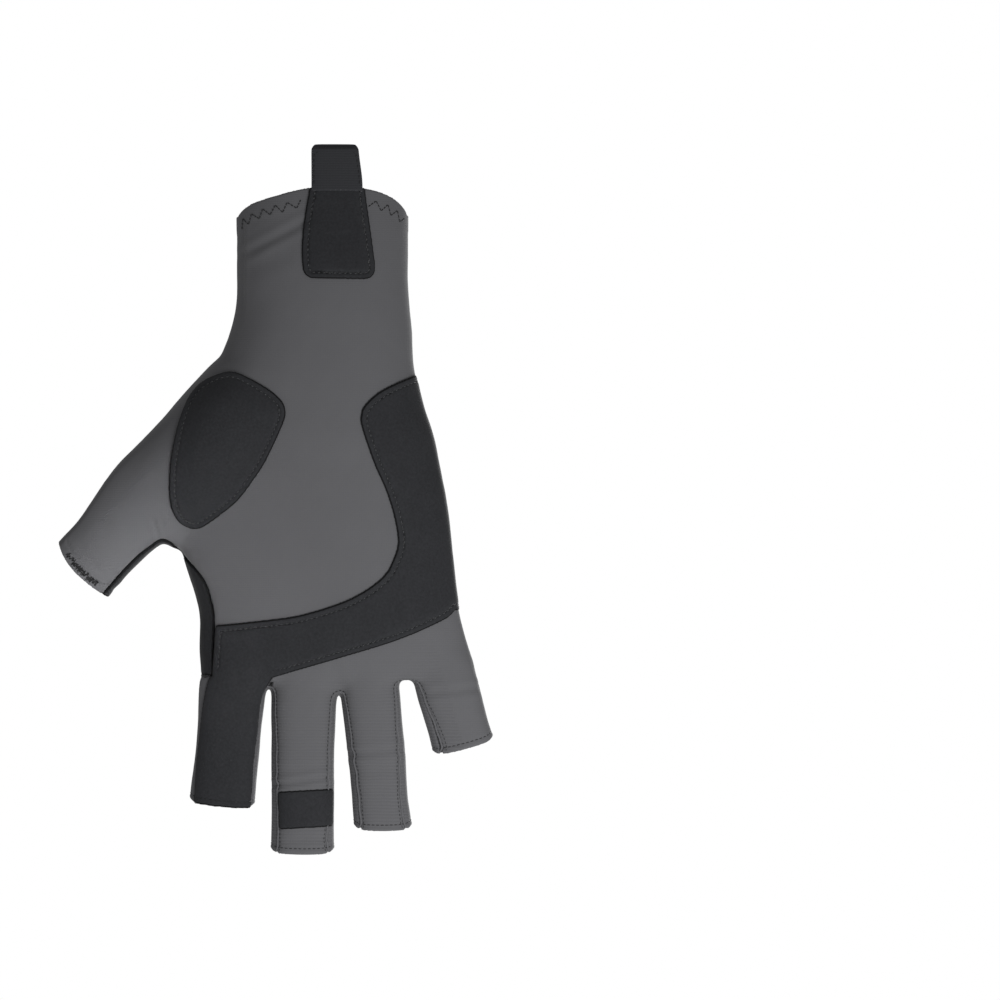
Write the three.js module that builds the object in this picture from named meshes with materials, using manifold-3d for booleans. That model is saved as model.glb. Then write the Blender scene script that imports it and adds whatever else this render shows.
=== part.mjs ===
// A fingerless fishing glove for the right hand, filled as if worn: a knit shell with side strips
// between the fingers, a gusset under the thumb, sewn patches on the palm and a pull loop at the cuff.
// Millimetres. +Z runs up the wrist, the palm faces -Y and the thumb points to -X.
// The origin is the middle of the cuff's opening.
import * as THREE from "three";
import { mergeVertices } from "three/addons/utils/BufferGeometryUtils.js";
import Module from "manifold-3d";

const wasm = await Module();
wasm.setup();

// Cloth and seams
const clothThickness = 1.2;
const patchThickness = 1.2;
const padThickness = 2.2;
const seamGap = 0.3;
const sideStripWidth = 12.8;

// Cuff
const cuffWidth = 63;
const cuffDepth = 44;
const cuffLength = 43;
const palmRimRise = 9.4;
const backRimRise = 7;

// Palm, from the wrist to the roots of the fingers
const palmLength = 132;
const handBreadth = 97;
const handDepth = 32;
const knuckleRun = 17;

// Fingers, each with its root's place across the hand and its lean away from straight down, in degrees
const fingers = {
  index: { length: 44.5, width: 23.4, depth: 18.5, rootAcross: -0.342, lean: -5.3 },
  middle: { length: 62, width: 22.8, depth: 18.5, rootAcross: -0.071, lean: -0.5 },
  ring: { length: 53.5, width: 20.8, depth: 17.5, rootAcross: 0.18, lean: 5.5 },
  little: { length: 24, width: 22.4, depth: 16, rootAcross: 0.474, lean: 16 },
};

// Webs between neighbouring fingers, each as far below the line of the roots as its cloth closes
const webs = {
  index_middle: { from: "index", to: "middle", drop: 0.4 },
  middle_ring: { from: "middle", to: "ring", drop: 3.4 },
  ring_little: { from: "ring", to: "little", drop: -4 },
};

// Thumb
const thumbLength = 103.5;
const thumbWidth = 26.3;
const thumbDepth = 20;
const thumbSplay = 43;
const thumbForward = 2.5;

// Pull loop at the cuff, and the patch that holds it
const loopAcross = 5.6;
const loopWidth = 17.4;
const loopHeight = 16.3;
const loopThickness = 1.1;
const loopFootWidth = 18.6;
const loopCornerRadius = 2.2;
const loopTuck = 9;
const tabLength = 34.1;
const tabTopWidth = 20;
const tabBottomWidth = 27;
const tabCornerRadius = 3.5;
const cutCornerRadius = 0.5;

// Band across the palm side of the middle finger, and the margin that finger patches leave at a seam
const bandHeight = 12;
const bandFromTip = 10.4;
const fingerPatchMargin = 1.6;

// How far the hollows run past the open ends that they are cut through
const cutOverrun = 5;

// Flat facets round the hand, a finger and the thumb, and the longest step along a curved edge
const handSides = 40;
const fingerSides = 16;
const thumbSides = 22;
const curveStep = 3.5;

const knit = { color: 0x626264, roughness: 0.9, metalness: 0 };
const suede = { color: 0x2d2e30, roughness: 0.85, metalness: 0 };
const webbing = { color: 0x313236, roughness: 0.8, metalness: 0 };

// Rings of the hand from the cuff down. Heights are shares of the cuff's or the palm's length, reaches to each side are
// shares of the cuff's width or the hand's breadth, and palm and back are shares of the depth.
const cuffRows = [
  { along: 0, left: 0.5, right: 0.5, palm: 0.5, back: 0.5, square: 2.15 },
  { along: 0.45, left: 0.495, right: 0.502, palm: 0.49, back: 0.49, square: 2.15 },
  { along: 0.8, left: 0.506, right: 0.512, palm: 0.485, back: 0.485, square: 2.15 },
];
const palmRows = [
  { along: 0, left: 0.348, right: 0.34, palm: 0.66, back: 0.665, square: 2.15 },
  { along: 0.1, left: 0.4, right: 0.349, palm: 0.65, back: 0.635, square: 2.2 },
  { along: 0.2, left: 0.475, right: 0.369, palm: 0.63, back: 0.59, square: 2.25 },
  { along: 0.3, left: 0.53, right: 0.409, palm: 0.6, back: 0.555, square: 2.3 },
  { along: 0.42, left: 0.565, right: 0.442, palm: 0.56, back: 0.525, square: 2.35 },
  { along: 0.534, left: 0.57, right: 0.47, palm: 0.52, back: 0.5, square: 2.4 },
  { along: 0.64, left: 0.527, right: 0.493, palm: 0.495, back: 0.485, square: 2.5 },
  { along: 0.72, left: 0.493, right: 0.506, palm: 0.48, back: 0.475, square: 2.55 },
  { along: 0.8, left: 0.468, right: 0.522, palm: 0.46, back: 0.455, square: 2.6 },
  { along: 0.88, left: 0.466, right: 0.553, palm: 0.42, back: 0.42, square: 2.7 },
  { along: 0.94, left: 0.462, right: 0.58, palm: 0.378, back: 0.378, square: 2.8 },
  { along: 0.985, left: 0.448, right: 0.59, palm: 0.325, back: 0.325, square: 2.8 },
];

// The cuff's rim from the thumb's side to the little finger's: across is a share of half the cuff's
// width, and rise a share of the rim's rise over its sides.
const rimRows = [
  { across: -1, rise: 0 },
  { across: -0.87, rise: 0.27 },
  { across: -0.635, rise: 0.65 },
  { across: -0.2, rise: 0.95 },
  { across: 0.18, rise: 1 },
  { across: 0.5, rise: 0.95 },
  { across: 0.8, rise: 0.69 },
  { across: 0.92, rise: 0.38 },
  { across: 1, rise: 0 },
];

// Rings of a finger: the roots' heights are shares of the knuckles' run above the roots' line, the rest
// are shares of the finger's length, with width and depth as shares of the finger's own.
const fingerRootRows = [
  { above: 1.2, wide: 0.84, deep: 0.95 },
  { above: 0.45, wide: 1.0, deep: 1.24 },
];
const fingerRows = [
  { along: 0.02, wide: 1.03, deep: 1.18 },
  { along: 0.35, wide: 1, deep: 1.07 },
  { along: 0.7, wide: 0.98, deep: 1 },
  { along: 1, wide: 1.01, deep: 0.98 },
];
const fingerSquare = 2.8;

// Rings of a web between fingers: above is a share of the knuckles' run over the web's lowest point, and
// deep a share of the shallower finger's half depth.
const webRows = [
  { above: 0.9, deep: 1.2 },
  { above: 0.35, deep: 1.05 },
  { above: 0, deep: 0.8 },
];
const webSquare = 3;

// Rings of the thumb from its base inside the palm to its open end, as shares of its length, width and
// depth: outer is the side away from the fingers, and inner the side towards them.
const thumbRows = [
  { along: 0, outer: 0.5, inner: 0.28, palm: 0.6, back: 0.5 },
  { along: 0.09, outer: 0.63, inner: 0.58, palm: 0.92, back: 0.74 },
  { along: 0.229, outer: 0.655, inner: 0.845, palm: 1.1, back: 0.82 },
  { along: 0.4, outer: 0.634, inner: 0.93, palm: 1.08, back: 0.79 },
  { along: 0.527, outer: 0.648, inner: 0.82, palm: 0.92, back: 0.72 },
  { along: 0.636, outer: 0.665, inner: 0.65, palm: 0.76, back: 0.65 },
  { along: 0.742, outer: 0.613, inner: 0.535, palm: 0.62, back: 0.58 },
  { along: 0.855, outer: 0.545, inner: 0.49, palm: 0.54, back: 0.52 },
  { along: 1, outer: 0.507, inner: 0.493, palm: 0.5, back: 0.5 },
];
const thumbBase = { across: -0.195, along: 0.112 };
const thumbSquare = 2.3;

// Edges of the patches and the gusset on the palm: across is a share of the hand's breadth from its
// middle line, and along a share of the palm's length below the wrist.
const palmPatchInnerEdge = [
  { across: 0.45, along: 0.112 },
  { across: 0.233, along: 0.171 },
  { across: 0.149, along: 0.228 },
  { across: 0.158, along: 0.275 },
  { across: 0.218, along: 0.388 },
  { across: 0.288, along: 0.553 },
  { across: 0.282, along: 0.62 },
  { across: 0.21, along: 0.711 },
  { across: 0.08, along: 0.78 },
  { across: -0.16, along: 0.817 },
  { across: -0.404, along: 0.831 },
];
const palmPatchOuterEdge = [
  { across: -0.187, along: 0.981 },
  { across: 0.038, along: 0.927 },
  { across: 0.282, along: 0.871 },
  { across: 0.458, along: 0.815 },
  { across: 0.504, along: 0.787 },
];
const thumbPatchEdge = [
  { across: -0.35, along: 0.124 },
  { across: -0.205, along: 0.166 },
  { across: -0.141, along: 0.233 },
  { across: -0.206, along: 0.348 },
  { across: -0.313, along: 0.461 },
  { across: -0.477, along: 0.556 },
  { across: -0.573, along: 0.497 },
  { across: -0.572, along: 0.365 },
  { across: -0.492, along: 0.177 },
];
const gussetPalmEdge = [
  { across: -0.566, along: 0.598 },
  { across: -0.534, along: 0.632 },
  { across: -0.48, along: 0.67 },
  { across: -0.44, along: 0.716 },
  { across: -0.418, along: 0.77 },
  { across: -0.41, along: 0.831 },
  { across: -0.416, along: 0.971 },
];
const gussetBackEdge = [
  { across: -0.6, along: 0.508 },
  { across: -0.555, along: 0.545 },
  { across: -0.5, along: 0.612 },
  { across: -0.462, along: 0.69 },
  { across: -0.448, along: 0.77 },
  { across: -0.448, along: 0.971 },
];
// The gusset's edges on the thumb, as shares of the thumb's length from its base and of its width
const gussetThumbPalmEdge = [
  { along: 1.1, side: 0.44 },
  { along: 0.85, side: 0.42 },
  { along: 0.76, side: 0.46 },
];
const gussetThumbBackEdge = [
  { along: 1.1, side: -0.07 },
  { along: 0.9, side: -0.05 },
  { along: 0.77, side: 0 },
  { along: 0.67, side: 0.12 },
];

const radians = THREE.MathUtils.degToRad;
const towardsBack = new THREE.Vector3(0, 1, 0);
const farOut = 3 * handBreadth;
const loopTop = palmRimRise + loopHeight;
const highestZ = loopTop + cutOverrun;
const longestFinger = Math.max(...Object.values(fingers).map((finger) => finger.length));

function palmPoint({ across, along }) {
  return new THREE.Vector2(across * handBreadth, -cuffLength - along * palmLength);
}

const thumbRoot = palmPoint(thumbBase);
const thumbDown = new THREE.Vector2(-Math.sin(radians(thumbSplay)), -Math.cos(radians(thumbSplay)));
const thumbSide = new THREE.Vector2(Math.cos(radians(thumbSplay)), -Math.sin(radians(thumbSplay)));

function thumbPoint({ along, side }) {
  return thumbRoot
    .clone()
    .addScaledVector(thumbDown, along * thumbLength)
    .addScaledVector(thumbSide, side * thumbWidth);
}

// A finger's middle line at a distance below the roots' line
function fingerPoint(finger, below) {
  const lean = radians(finger.lean);
  const root = palmPoint({ across: finger.rootAcross, along: 1 });
  return root.add(new THREE.Vector2(Math.sin(lean) * below, -Math.cos(lean) * below));
}

// A closed solid from a geometry, with its shared corners joined
function solidOf(geometry) {
  geometry.deleteAttribute("normal");
  geometry.deleteAttribute("uv");
  const merged = mergeVertices(geometry, 1e-4);
  const vertProperties = merged.attributes.position.array;
  const triVerts = new Uint32Array(merged.index.array);
  return new wasm.Manifold(new wasm.Mesh({ numProp: 3, vertProperties, triVerts }));
}

// A tube with closed ends through rings, each a rounded oblong set across its middle line
function loft(rings, sides) {
  const corners = [];
  const faces = [];
  for (const ring of rings) {
    const across = ring.across ?? new THREE.Vector3(1, 0, 0);
    for (let i = 0; i < sides; i++) {
      const turn = (2 * Math.PI * i) / sides;
      const sideways = Math.cos(turn);
      const deepwards = Math.sin(turn);
      const reach = sideways > 0 ? ring.right : ring.left;
      const depth = deepwards > 0 ? ring.back : ring.palm;
      const corner = ring.middle
        .clone()
        .addScaledVector(across, reach * Math.sign(sideways) * Math.abs(sideways) ** (2 / ring.square))
        .addScaledVector(towardsBack, depth * Math.sign(deepwards) * Math.abs(deepwards) ** (2 / ring.square));
      corners.push(...corner.toArray());
    }
  }
  const firstMiddle = rings.length * sides;
  const lastMiddle = firstMiddle + 1;
  corners.push(...rings[0].middle.toArray(), ...rings[rings.length - 1].middle.toArray());
  for (let i = 0; i < sides; i++) {
    const next = (i + 1) % sides;
    for (let r = 0; r + 1 < rings.length; r++) {
      const upper = r * sides;
      const lower = upper + sides;
      faces.push(upper + i, lower + i, lower + next);
      faces.push(upper + i, lower + next, upper + next);
    }
    const last = (rings.length - 1) * sides;
    faces.push(firstMiddle, i, next);
    faces.push(lastMiddle, last + next, last + i);
  }
  const geometry = new THREE.BufferGeometry();
  geometry.setAttribute("position", new THREE.Float32BufferAttribute(corners, 3));
  geometry.setIndex(faces);
  return solidOf(geometry);
}

// A straight cut through the hand from palm to back, with its outline drawn in X and Z
function prism(outline, lowY, highY) {
  const shape = new THREE.Shape(outline);
  const geometry = new THREE.ExtrudeGeometry(shape, { depth: highY - lowY, bevelEnabled: false });
  geometry.rotateX(Math.PI / 2);
  geometry.translate(0, highY, 0);
  return solidOf(geometry);
}

function slab(lowX, lowZ, highX, highZ, lowY, highY) {
  const outline = [
    new THREE.Vector2(lowX, lowZ),
    new THREE.Vector2(highX, lowZ),
    new THREE.Vector2(highX, highZ),
    new THREE.Vector2(lowX, highZ),
  ];
  return prism(outline, lowY, highY);
}

function smoothRun(points) {
  const curve = new THREE.SplineCurve(points);
  return curve.getPoints(Math.ceil(curve.getLength() / curveStep));
}

function smoothLoop(points) {
  const corners = points.map((p) => new THREE.Vector3(p.x, p.y, 0));
  const curve = new THREE.CatmullRomCurve3(corners, true);
  const steps = Math.ceil(curve.getLength() / curveStep);
  return curve.getPoints(steps).slice(0, steps).map((p) => new THREE.Vector2(p.x, p.y));
}

// The run moved sideways by a distance, to the left of its direction
function shiftedRun(points, distance) {
  return points.map((point, i) => {
    const before = points[Math.max(i - 1, 0)];
    const after = points[Math.min(i + 1, points.length - 1)];
    const direction = after.clone().sub(before).normalize();
    return point.clone().add(new THREE.Vector2(-direction.y, direction.x).multiplyScalar(distance));
  });
}

// The hand's main tube, grown outwards by a distance, or shrunk by a negative one
function handTube(grow) {
  const ring = (z, breadth, depth, row) => ({
    middle: new THREE.Vector3(0, 0, z),
    left: row.left * breadth + grow,
    right: row.right * breadth + grow,
    palm: row.palm * depth + grow,
    back: row.back * depth + grow,
    square: row.square,
  });
  const closedEnd = Math.min(grow, 0);
  const rings = [
    ring(highestZ, cuffWidth, cuffDepth, cuffRows[0]),
    ...cuffRows.map((row) => ring(-row.along * cuffLength, cuffWidth, cuffDepth, row)),
    ...palmRows.map((row) => ring(-cuffLength - row.along * palmLength, handBreadth, handDepth, row)),
  ];
  rings[rings.length - 1].middle.z -= closedEnd;
  return loft(rings, handSides);
}

// A finger's tube, which a hollow runs past the open end of by an overrun
function fingerTube(finger, grow, overrun) {
  const lean = radians(finger.lean);
  const across = new THREE.Vector3(Math.cos(lean), 0, Math.sin(lean));
  const ring = (below, row) => {
    const middle = fingerPoint(finger, below);
    return {
      middle: new THREE.Vector3(middle.x, 0, middle.y),
      across,
      left: (row.wide * finger.width) / 2 + grow,
      right: (row.wide * finger.width) / 2 + grow,
      palm: (row.deep * finger.depth) / 2 + grow,
      back: (row.deep * finger.depth) / 2 + grow,
      square: fingerSquare,
    };
  };
  const rings = [
    ...fingerRootRows.map((row) => ring(-row.above * knuckleRun, row)),
    ...fingerRows.map((row) => ring(row.along * finger.length, row)),
  ];
  if (overrun > 0) {
    rings.push(ring(finger.length + overrun, fingerRows[fingerRows.length - 1]));
  }
  return loft(rings, fingerSides);
}

// The short tube that joins two fingers at their roots and closes below the line of the roots
function webTube(web, grow) {
  const left = fingerPoint(fingers[web.from], web.drop);
  const right = fingerPoint(fingers[web.to], web.drop);
  const depth = Math.min(fingers[web.from].depth, fingers[web.to].depth) / 2;
  const bottom = palmPoint({ across: 0, along: 1 }).y - web.drop - grow;
  const ring = (z, deep) => ({
    middle: new THREE.Vector3((left.x + right.x) / 2, 0, z),
    left: (right.x - left.x) / 2,
    right: (right.x - left.x) / 2,
    palm: deep * depth + grow,
    back: deep * depth + grow,
    square: webSquare,
  });
  return loft(webRows.map((row) => ring(bottom + row.above * knuckleRun, row.deep)), fingerSides);
}

function thumbTube(grow, overrun) {
  const across = new THREE.Vector3(thumbSide.x, 0, thumbSide.y);
  const ring = (along, row) => {
    const middle = thumbPoint({ along, side: 0 });
    return {
      middle: new THREE.Vector3(middle.x, -thumbForward * Math.min(along, 1), middle.y),
      across,
      left: row.outer * thumbWidth + grow,
      right: row.inner * thumbWidth + grow,
      palm: row.palm * thumbDepth + grow,
      back: row.back * thumbDepth + grow,
      square: thumbSquare,
    };
  };
  const rings = thumbRows.map((row) => ring(row.along, row));
  if (overrun > 0) {
    rings.push(ring(1 + overrun / thumbLength, thumbRows[thumbRows.length - 1]));
  }
  return loft(rings, thumbSides);
}

function gloveForm(grow, overrun) {
  let form = handTube(grow).add(thumbTube(grow, overrun));
  for (const finger of Object.values(fingers)) {
    form = form.add(fingerTube(finger, grow, overrun));
  }
  for (const web of Object.values(webs)) {
    form = form.add(webTube(web, grow));
  }
  return form;
}

// Everything above the cuff's rim, which arches higher on the palm side than at the back
function aboveRim(rise, lowY, highY, clearance) {
  const points = rimRows.map((row) => new THREE.Vector2((row.across * cuffWidth) / 2, row.rise * rise));
  const arch = smoothRun(points).map((p) => new THREE.Vector2(p.x, p.y + clearance));
  const outline = [
    ...arch,
    new THREE.Vector2(farOut, clearance),
    new THREE.Vector2(farOut, farOut),
    new THREE.Vector2(-farOut, farOut),
    new THREE.Vector2(-farOut, clearance),
  ];
  return prism(outline, lowY, highY);
}

const outerForm = gloveForm(0, 0);
const innerForm = gloveForm(-clothThickness, cutOverrun);
const shell = outerForm
  .subtract(innerForm)
  .subtract(aboveRim(palmRimRise, -farOut, 0, 0))
  .subtract(aboveRim(backRimRise, 0, farOut, 0));

// A cover lying on the outside of the shell, over a gap
function cover(thickness) {
  return gloveForm(seamGap + thickness, 0).subtract(gloveForm(seamGap, 0));
}

function biggestBody(solid) {
  return solid.decompose().reduce((a, b) => (a.volume() > b.volume() ? a : b));
}

const palmSide = slab(-farOut, -farOut, farOut, farOut, -farOut, -seamGap / 2);
const backSide = slab(-farOut, -farOut, farOut, farOut, seamGap / 2, farOut);

// The strip of cloth down one finger's side, round the web and up the next finger's side
function sideStripCut(web, halfWidth) {
  const above = -knuckleRun;
  const below = longestFinger + cutOverrun;
  const outline = [
    fingerPoint(fingers[web.from], above),
    fingerPoint(fingers[web.from], below),
    fingerPoint(fingers[web.to], below),
    fingerPoint(fingers[web.to], above),
  ];
  return prism(outline, -halfWidth, halfWidth);
}

// The gusset's outline on one side of the hand, from beyond the thumb's open end round the web and down
// the palm's edge, shifted into the panel by a distance
function gussetHalf(thumbEdge, palmEdge, shift, lowY, highY) {
  const points = [...thumbEdge.map(thumbPoint), ...palmEdge.map(palmPoint)];
  const edge = shiftedRun(smoothRun(points), shift);
  const end = edge[edge.length - 1];
  end.y -= shift;
  return prism([...edge, new THREE.Vector2(edge[0].x, end.y)], lowY, highY);
}

function gussetCut(shift) {
  const palmHalf = gussetHalf(gussetThumbPalmEdge, gussetPalmEdge, shift, -farOut, 0);
  const backHalf = gussetHalf(gussetThumbBackEdge, gussetBackEdge, shift, 0, farOut);
  return palmHalf.add(backHalf);
}

const stripCuts = Object.values(webs).map((web) => sideStripCut(web, (sideStripWidth + seamGap) / 2));
let panels = shell.subtract(gussetCut(seamGap / 2));
for (const cut of stripCuts) {
  panels = panels.subtract(cut);
}

// A point on a finger, from its open end upwards and to one side of its middle line
function fingerPatchPoint(finger, fromTip, side) {
  const lean = radians(finger.lean);
  const reach = side * (finger.width / 2 - fingerPatchMargin);
  return fingerPoint(finger, finger.length - fromTip).add(
    new THREE.Vector2(Math.cos(lean) * reach, Math.sin(lean) * reach),
  );
}

function palmPatchOutline() {
  const index = fingers.index;
  const edgeEnd = palmPoint(gussetPalmEdge[gussetPalmEdge.length - 1]);
  const top = palmPoint(palmPatchInnerEdge[0]);
  const outer = smoothRun(palmPatchOuterEdge.map(palmPoint));
  return [
    new THREE.Vector2(farOut, top.y),
    ...smoothRun(palmPatchInnerEdge.map(palmPoint)),
    edgeEnd,
    fingerPatchPoint(index, index.length, -1),
    fingerPatchPoint(index, -cutOverrun, -1),
    fingerPatchPoint(index, -cutOverrun, 1),
    fingerPatchPoint(index, index.length, 1),
    ...outer,
    new THREE.Vector2(farOut, outer[outer.length - 1].y),
  ];
}

function thumbPatchOutline() {
  return smoothLoop(thumbPatchEdge.map(palmPoint));
}

function bandOutline() {
  const finger = fingers.middle;
  const top = bandFromTip + bandHeight;
  return [
    fingerPatchPoint(finger, bandFromTip, -1),
    fingerPatchPoint(finger, bandFromTip, 1),
    fingerPatchPoint(finger, top, 1),
    fingerPatchPoint(finger, top, -1),
  ];
}

// An upright outline that changes evenly in width from its top to its foot, with rounded corners
function taperedOutline(top, foot) {
  const shape = new THREE.Shape();
  const middleX = loopAcross;
  const topReach = top.width / 2;
  const footReach = foot.width / 2;
  shape.moveTo(middleX - topReach + top.radius, top.z);
  shape.lineTo(middleX + topReach - top.radius, top.z);
  shape.quadraticCurveTo(middleX + topReach, top.z, middleX + topReach, top.z - top.radius);
  shape.lineTo(middleX + footReach, foot.z + foot.radius);
  shape.quadraticCurveTo(middleX + footReach, foot.z, middleX + footReach - foot.radius, foot.z);
  shape.lineTo(middleX - footReach + foot.radius, foot.z);
  shape.quadraticCurveTo(middleX - footReach, foot.z, middleX - footReach, foot.z + foot.radius);
  shape.lineTo(middleX - topReach, top.z - top.radius);
  shape.quadraticCurveTo(middleX - topReach, top.z, middleX - topReach + top.radius, top.z);
  return shape.getPoints(4);
}

// The patch that holds the loop runs from the cuff's rim down the palm side
function cuffTab() {
  const rimOverrun = palmRimRise;
  const flare = (tabBottomWidth - tabTopWidth) / tabLength;
  const outline = taperedOutline(
    { z: palmRimRise + rimOverrun, width: tabTopWidth - flare * rimOverrun, radius: cutCornerRadius },
    { z: palmRimRise - tabLength, width: tabBottomWidth, radius: tabCornerRadius },
  );
  return cover(patchThickness)
    .intersect(prism(outline, -farOut, -seamGap))
    .subtract(aboveRim(palmRimRise, -farOut, 0, 0));
}

// The loop straddles the rim: one leg stands on the patch outside, and one is tucked inside the cuff
function pullLoop() {
  const outside = seamGap + loopThickness;
  const inside = -clothThickness - seamGap;
  const outline = taperedOutline(
    { z: loopTop, width: loopWidth, radius: loopCornerRadius },
    { z: palmRimRise - loopTuck, width: loopFootWidth, radius: cutCornerRadius },
  );
  const outerLeg = handTube(outside)
    .subtract(handTube(seamGap))
    .intersect(aboveRim(palmRimRise, -farOut, 0, seamGap));
  const innerLeg = handTube(inside).subtract(handTube(inside - loopThickness));
  const fold = handTube(outside)
    .subtract(handTube(inside - loopThickness))
    .intersect(slab(-farOut, loopTop - loopThickness, farOut, farOut, -farOut, 0));
  return outerLeg.add(innerLeg).add(fold).intersect(prism(outline, -farOut, -seamGap));
}

function meshOf(name, solid, look) {
  const made = biggestBody(solid).getMesh();
  const geometry = new THREE.BufferGeometry();
  geometry.setAttribute("position", new THREE.BufferAttribute(made.vertProperties, 3));
  geometry.setIndex(new THREE.BufferAttribute(made.triVerts, 1));
  geometry.computeVertexNormals();
  const mesh = new THREE.Mesh(geometry, new THREE.MeshStandardMaterial(look));
  mesh.name = name;
  return mesh;
}

const palmLayer = cover(patchThickness).intersect(palmSide);
const padLayer = cover(padThickness).intersect(palmSide);
const glove = new THREE.Group();
glove.add(meshOf("palm_panel", panels.intersect(palmSide), knit));
glove.add(meshOf("back_panel", panels.intersect(backSide), knit));
for (const [name, web] of Object.entries(webs)) {
  const strip = shell.intersect(sideStripCut(web, (sideStripWidth - seamGap) / 2));
  glove.add(meshOf("side_strip_" + name, strip, knit));
}
glove.add(meshOf("thumb_gusset", shell.intersect(gussetCut(-seamGap / 2)), suede));
glove.add(meshOf("palm_patch", palmLayer.intersect(prism(palmPatchOutline(), -farOut, 0)), suede));
glove.add(meshOf("thumb_patch", padLayer.intersect(prism(thumbPatchOutline(), -farOut, 0)), suede));
glove.add(meshOf("middle_finger_band", palmLayer.intersect(prism(bandOutline(), -farOut, 0)), suede));
glove.add(meshOf("cuff_tab", cuffTab(), suede));
glove.add(meshOf("pull_loop", pullLoop(), webbing));

export default glove;
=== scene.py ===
import math
import bpy
import numpy as np
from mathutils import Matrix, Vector
from mathutils.bvhtree import BVHTree


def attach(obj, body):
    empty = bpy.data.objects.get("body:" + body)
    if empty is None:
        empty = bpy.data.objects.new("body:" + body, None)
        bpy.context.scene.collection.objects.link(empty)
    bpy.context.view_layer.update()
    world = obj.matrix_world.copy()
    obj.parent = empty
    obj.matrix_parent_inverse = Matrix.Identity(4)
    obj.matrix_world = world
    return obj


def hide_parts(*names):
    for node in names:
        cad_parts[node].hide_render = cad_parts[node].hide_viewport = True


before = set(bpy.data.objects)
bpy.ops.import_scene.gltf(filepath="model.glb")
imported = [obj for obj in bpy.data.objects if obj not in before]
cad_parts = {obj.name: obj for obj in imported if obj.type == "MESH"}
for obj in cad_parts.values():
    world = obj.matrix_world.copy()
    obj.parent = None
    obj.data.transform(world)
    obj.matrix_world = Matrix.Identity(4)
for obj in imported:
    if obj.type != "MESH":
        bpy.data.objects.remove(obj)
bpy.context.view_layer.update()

# A fingerless fishing glove for the right hand. Everything here is in millimetres until a mesh is made.
# +Z runs up the wrist, the palm faces -Y and the thumb points to -X.
mm = 0.001
seed = 7


def table(names, rows):
    return dict(zip(names.split(), np.array(rows, float).T))


def named(names, rows):
    return {name: dict(zip(names.split(), row)) for name, row in rows.items()}


# The form that the cloth follows
cuff = {"width": 63, "depth": 44, "length": 43, "palmRise": 9.4, "backRise": 7, "overrun": 8, "square": 2.15}
hand = {"length": 132, "breadth": 97, "depth": 32, "knuckleRun": 17}
fingers = named("length width depth rootAcross lean endSlope", {
    "index": (44.5, 23.4, 18.5, -0.342, -5.3, 0),
    "middle": (62, 22.8, 18.5, -0.071, -0.5, 0),
    "ring": (53.5, 20.8, 17.5, 0.18, 5.5, 0.09),
    "little": (24, 22.4, 16, 0.474, 16, 0.02),
})
webs = named("from to drop", {
    "index_middle": ("index", "middle", 0.4),
    "middle_ring": ("middle", "ring", 2.3),
    "ring_little": ("ring", "little", -6.2),
})
thumb = {"length": 103.5, "width": 26.3, "depth": 20, "splay": 43, "forward": 2.5, "square": 2.3}
thumbBase = (-0.195, 0.112)
thumbWeb = {
    "top": (-53.2, -114.5), "foot": (-57, -122.6), "half": 4.5, "deepTop": 9, "deepFoot": 5.5, "square": 3.0,
}
endOverrun = 7
fingerSquare, webSquare = 2.8, 3
tubeSides = {"hand": 112, "finger": 56, "web": 48, "thumb": 72, "thumbWeb": 40}
tubeRings = {"finger": 40, "web": 10, "thumb": 60, "thumbWeb": 10}

cuffRows = table("along left right palm back square", [
    (0, 0.5, 0.5, 0.5, 0.5, 2.15),
    (0.45, 0.495, 0.502, 0.49, 0.49, 2.15),
    (0.8, 0.506, 0.512, 0.485, 0.485, 2.15),
])
palmRows = table("along left right palm back square", [
    (0, 0.348, 0.34, 0.66, 0.665, 2.15),
    (0.1, 0.4, 0.346, 0.65, 0.635, 2.2),
    (0.2, 0.475, 0.376, 0.63, 0.59, 2.25),
    (0.3, 0.53, 0.417, 0.6, 0.555, 2.3),
    (0.42, 0.565, 0.45, 0.56, 0.525, 2.35),
    (0.534, 0.57, 0.477, 0.52, 0.5, 2.4),
    (0.64, 0.527, 0.493, 0.495, 0.485, 2.5),
    (0.72, 0.493, 0.506, 0.48, 0.475, 2.55),
    (0.8, 0.468, 0.522, 0.46, 0.455, 2.6),
    (0.88, 0.466, 0.553, 0.42, 0.42, 2.7),
    (0.94, 0.462, 0.58, 0.378, 0.378, 2.8),
    (0.985, 0.448, 0.59, 0.325, 0.325, 2.8),
])
rimRows = table("across rise", [
    (-1, -0.16), (-0.96, 0.02), (-0.87, 0.26), (-0.69, 0.5), (-0.517, 0.67), (-0.18, 0.93), (0.18, 1),
    (0.5, 0.93), (0.763, 0.68), (0.87, 0.48), (0.94, 0.26), (0.98, 0.07), (1, -0.1),
])
fingerRootRows = table("above wide deep", [(1.2, 0.84, 0.95), (0.45, 1.0, 1.24)])
fingerRows = table("along wide deep", [(0.02, 1.03, 1.18), (0.35, 1, 1.07), (0.7, 0.98, 1), (1, 1.01, 0.98)])
webRows = table("above deep", [(0.9, 1.2), (0.35, 1.05), (0, 0.8)])
thumbRows = table("along outer inner palm back", [
    (0, 0.5, 0.28, 0.6, 0.5),
    (0.09, 0.63, 0.58, 0.92, 0.74),
    (0.229, 0.655, 0.845, 1.1, 0.82),
    (0.4, 0.634, 0.93, 1.08, 0.79),
    (0.527, 0.648, 0.82, 0.92, 0.72),
    (0.636, 0.652, 0.65, 0.76, 0.65),
    (0.742, 0.597, 0.535, 0.62, 0.58),
    (0.855, 0.53, 0.49, 0.54, 0.52),
    (1, 0.507, 0.493, 0.5, 0.5),
])


def palmPoint(across, along):
    return np.array([across * hand["breadth"], -cuff["length"] - along * hand["length"]])


def palmPoints(rows):
    return np.array([palmPoint(across, along) for across, along in rows])


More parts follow.
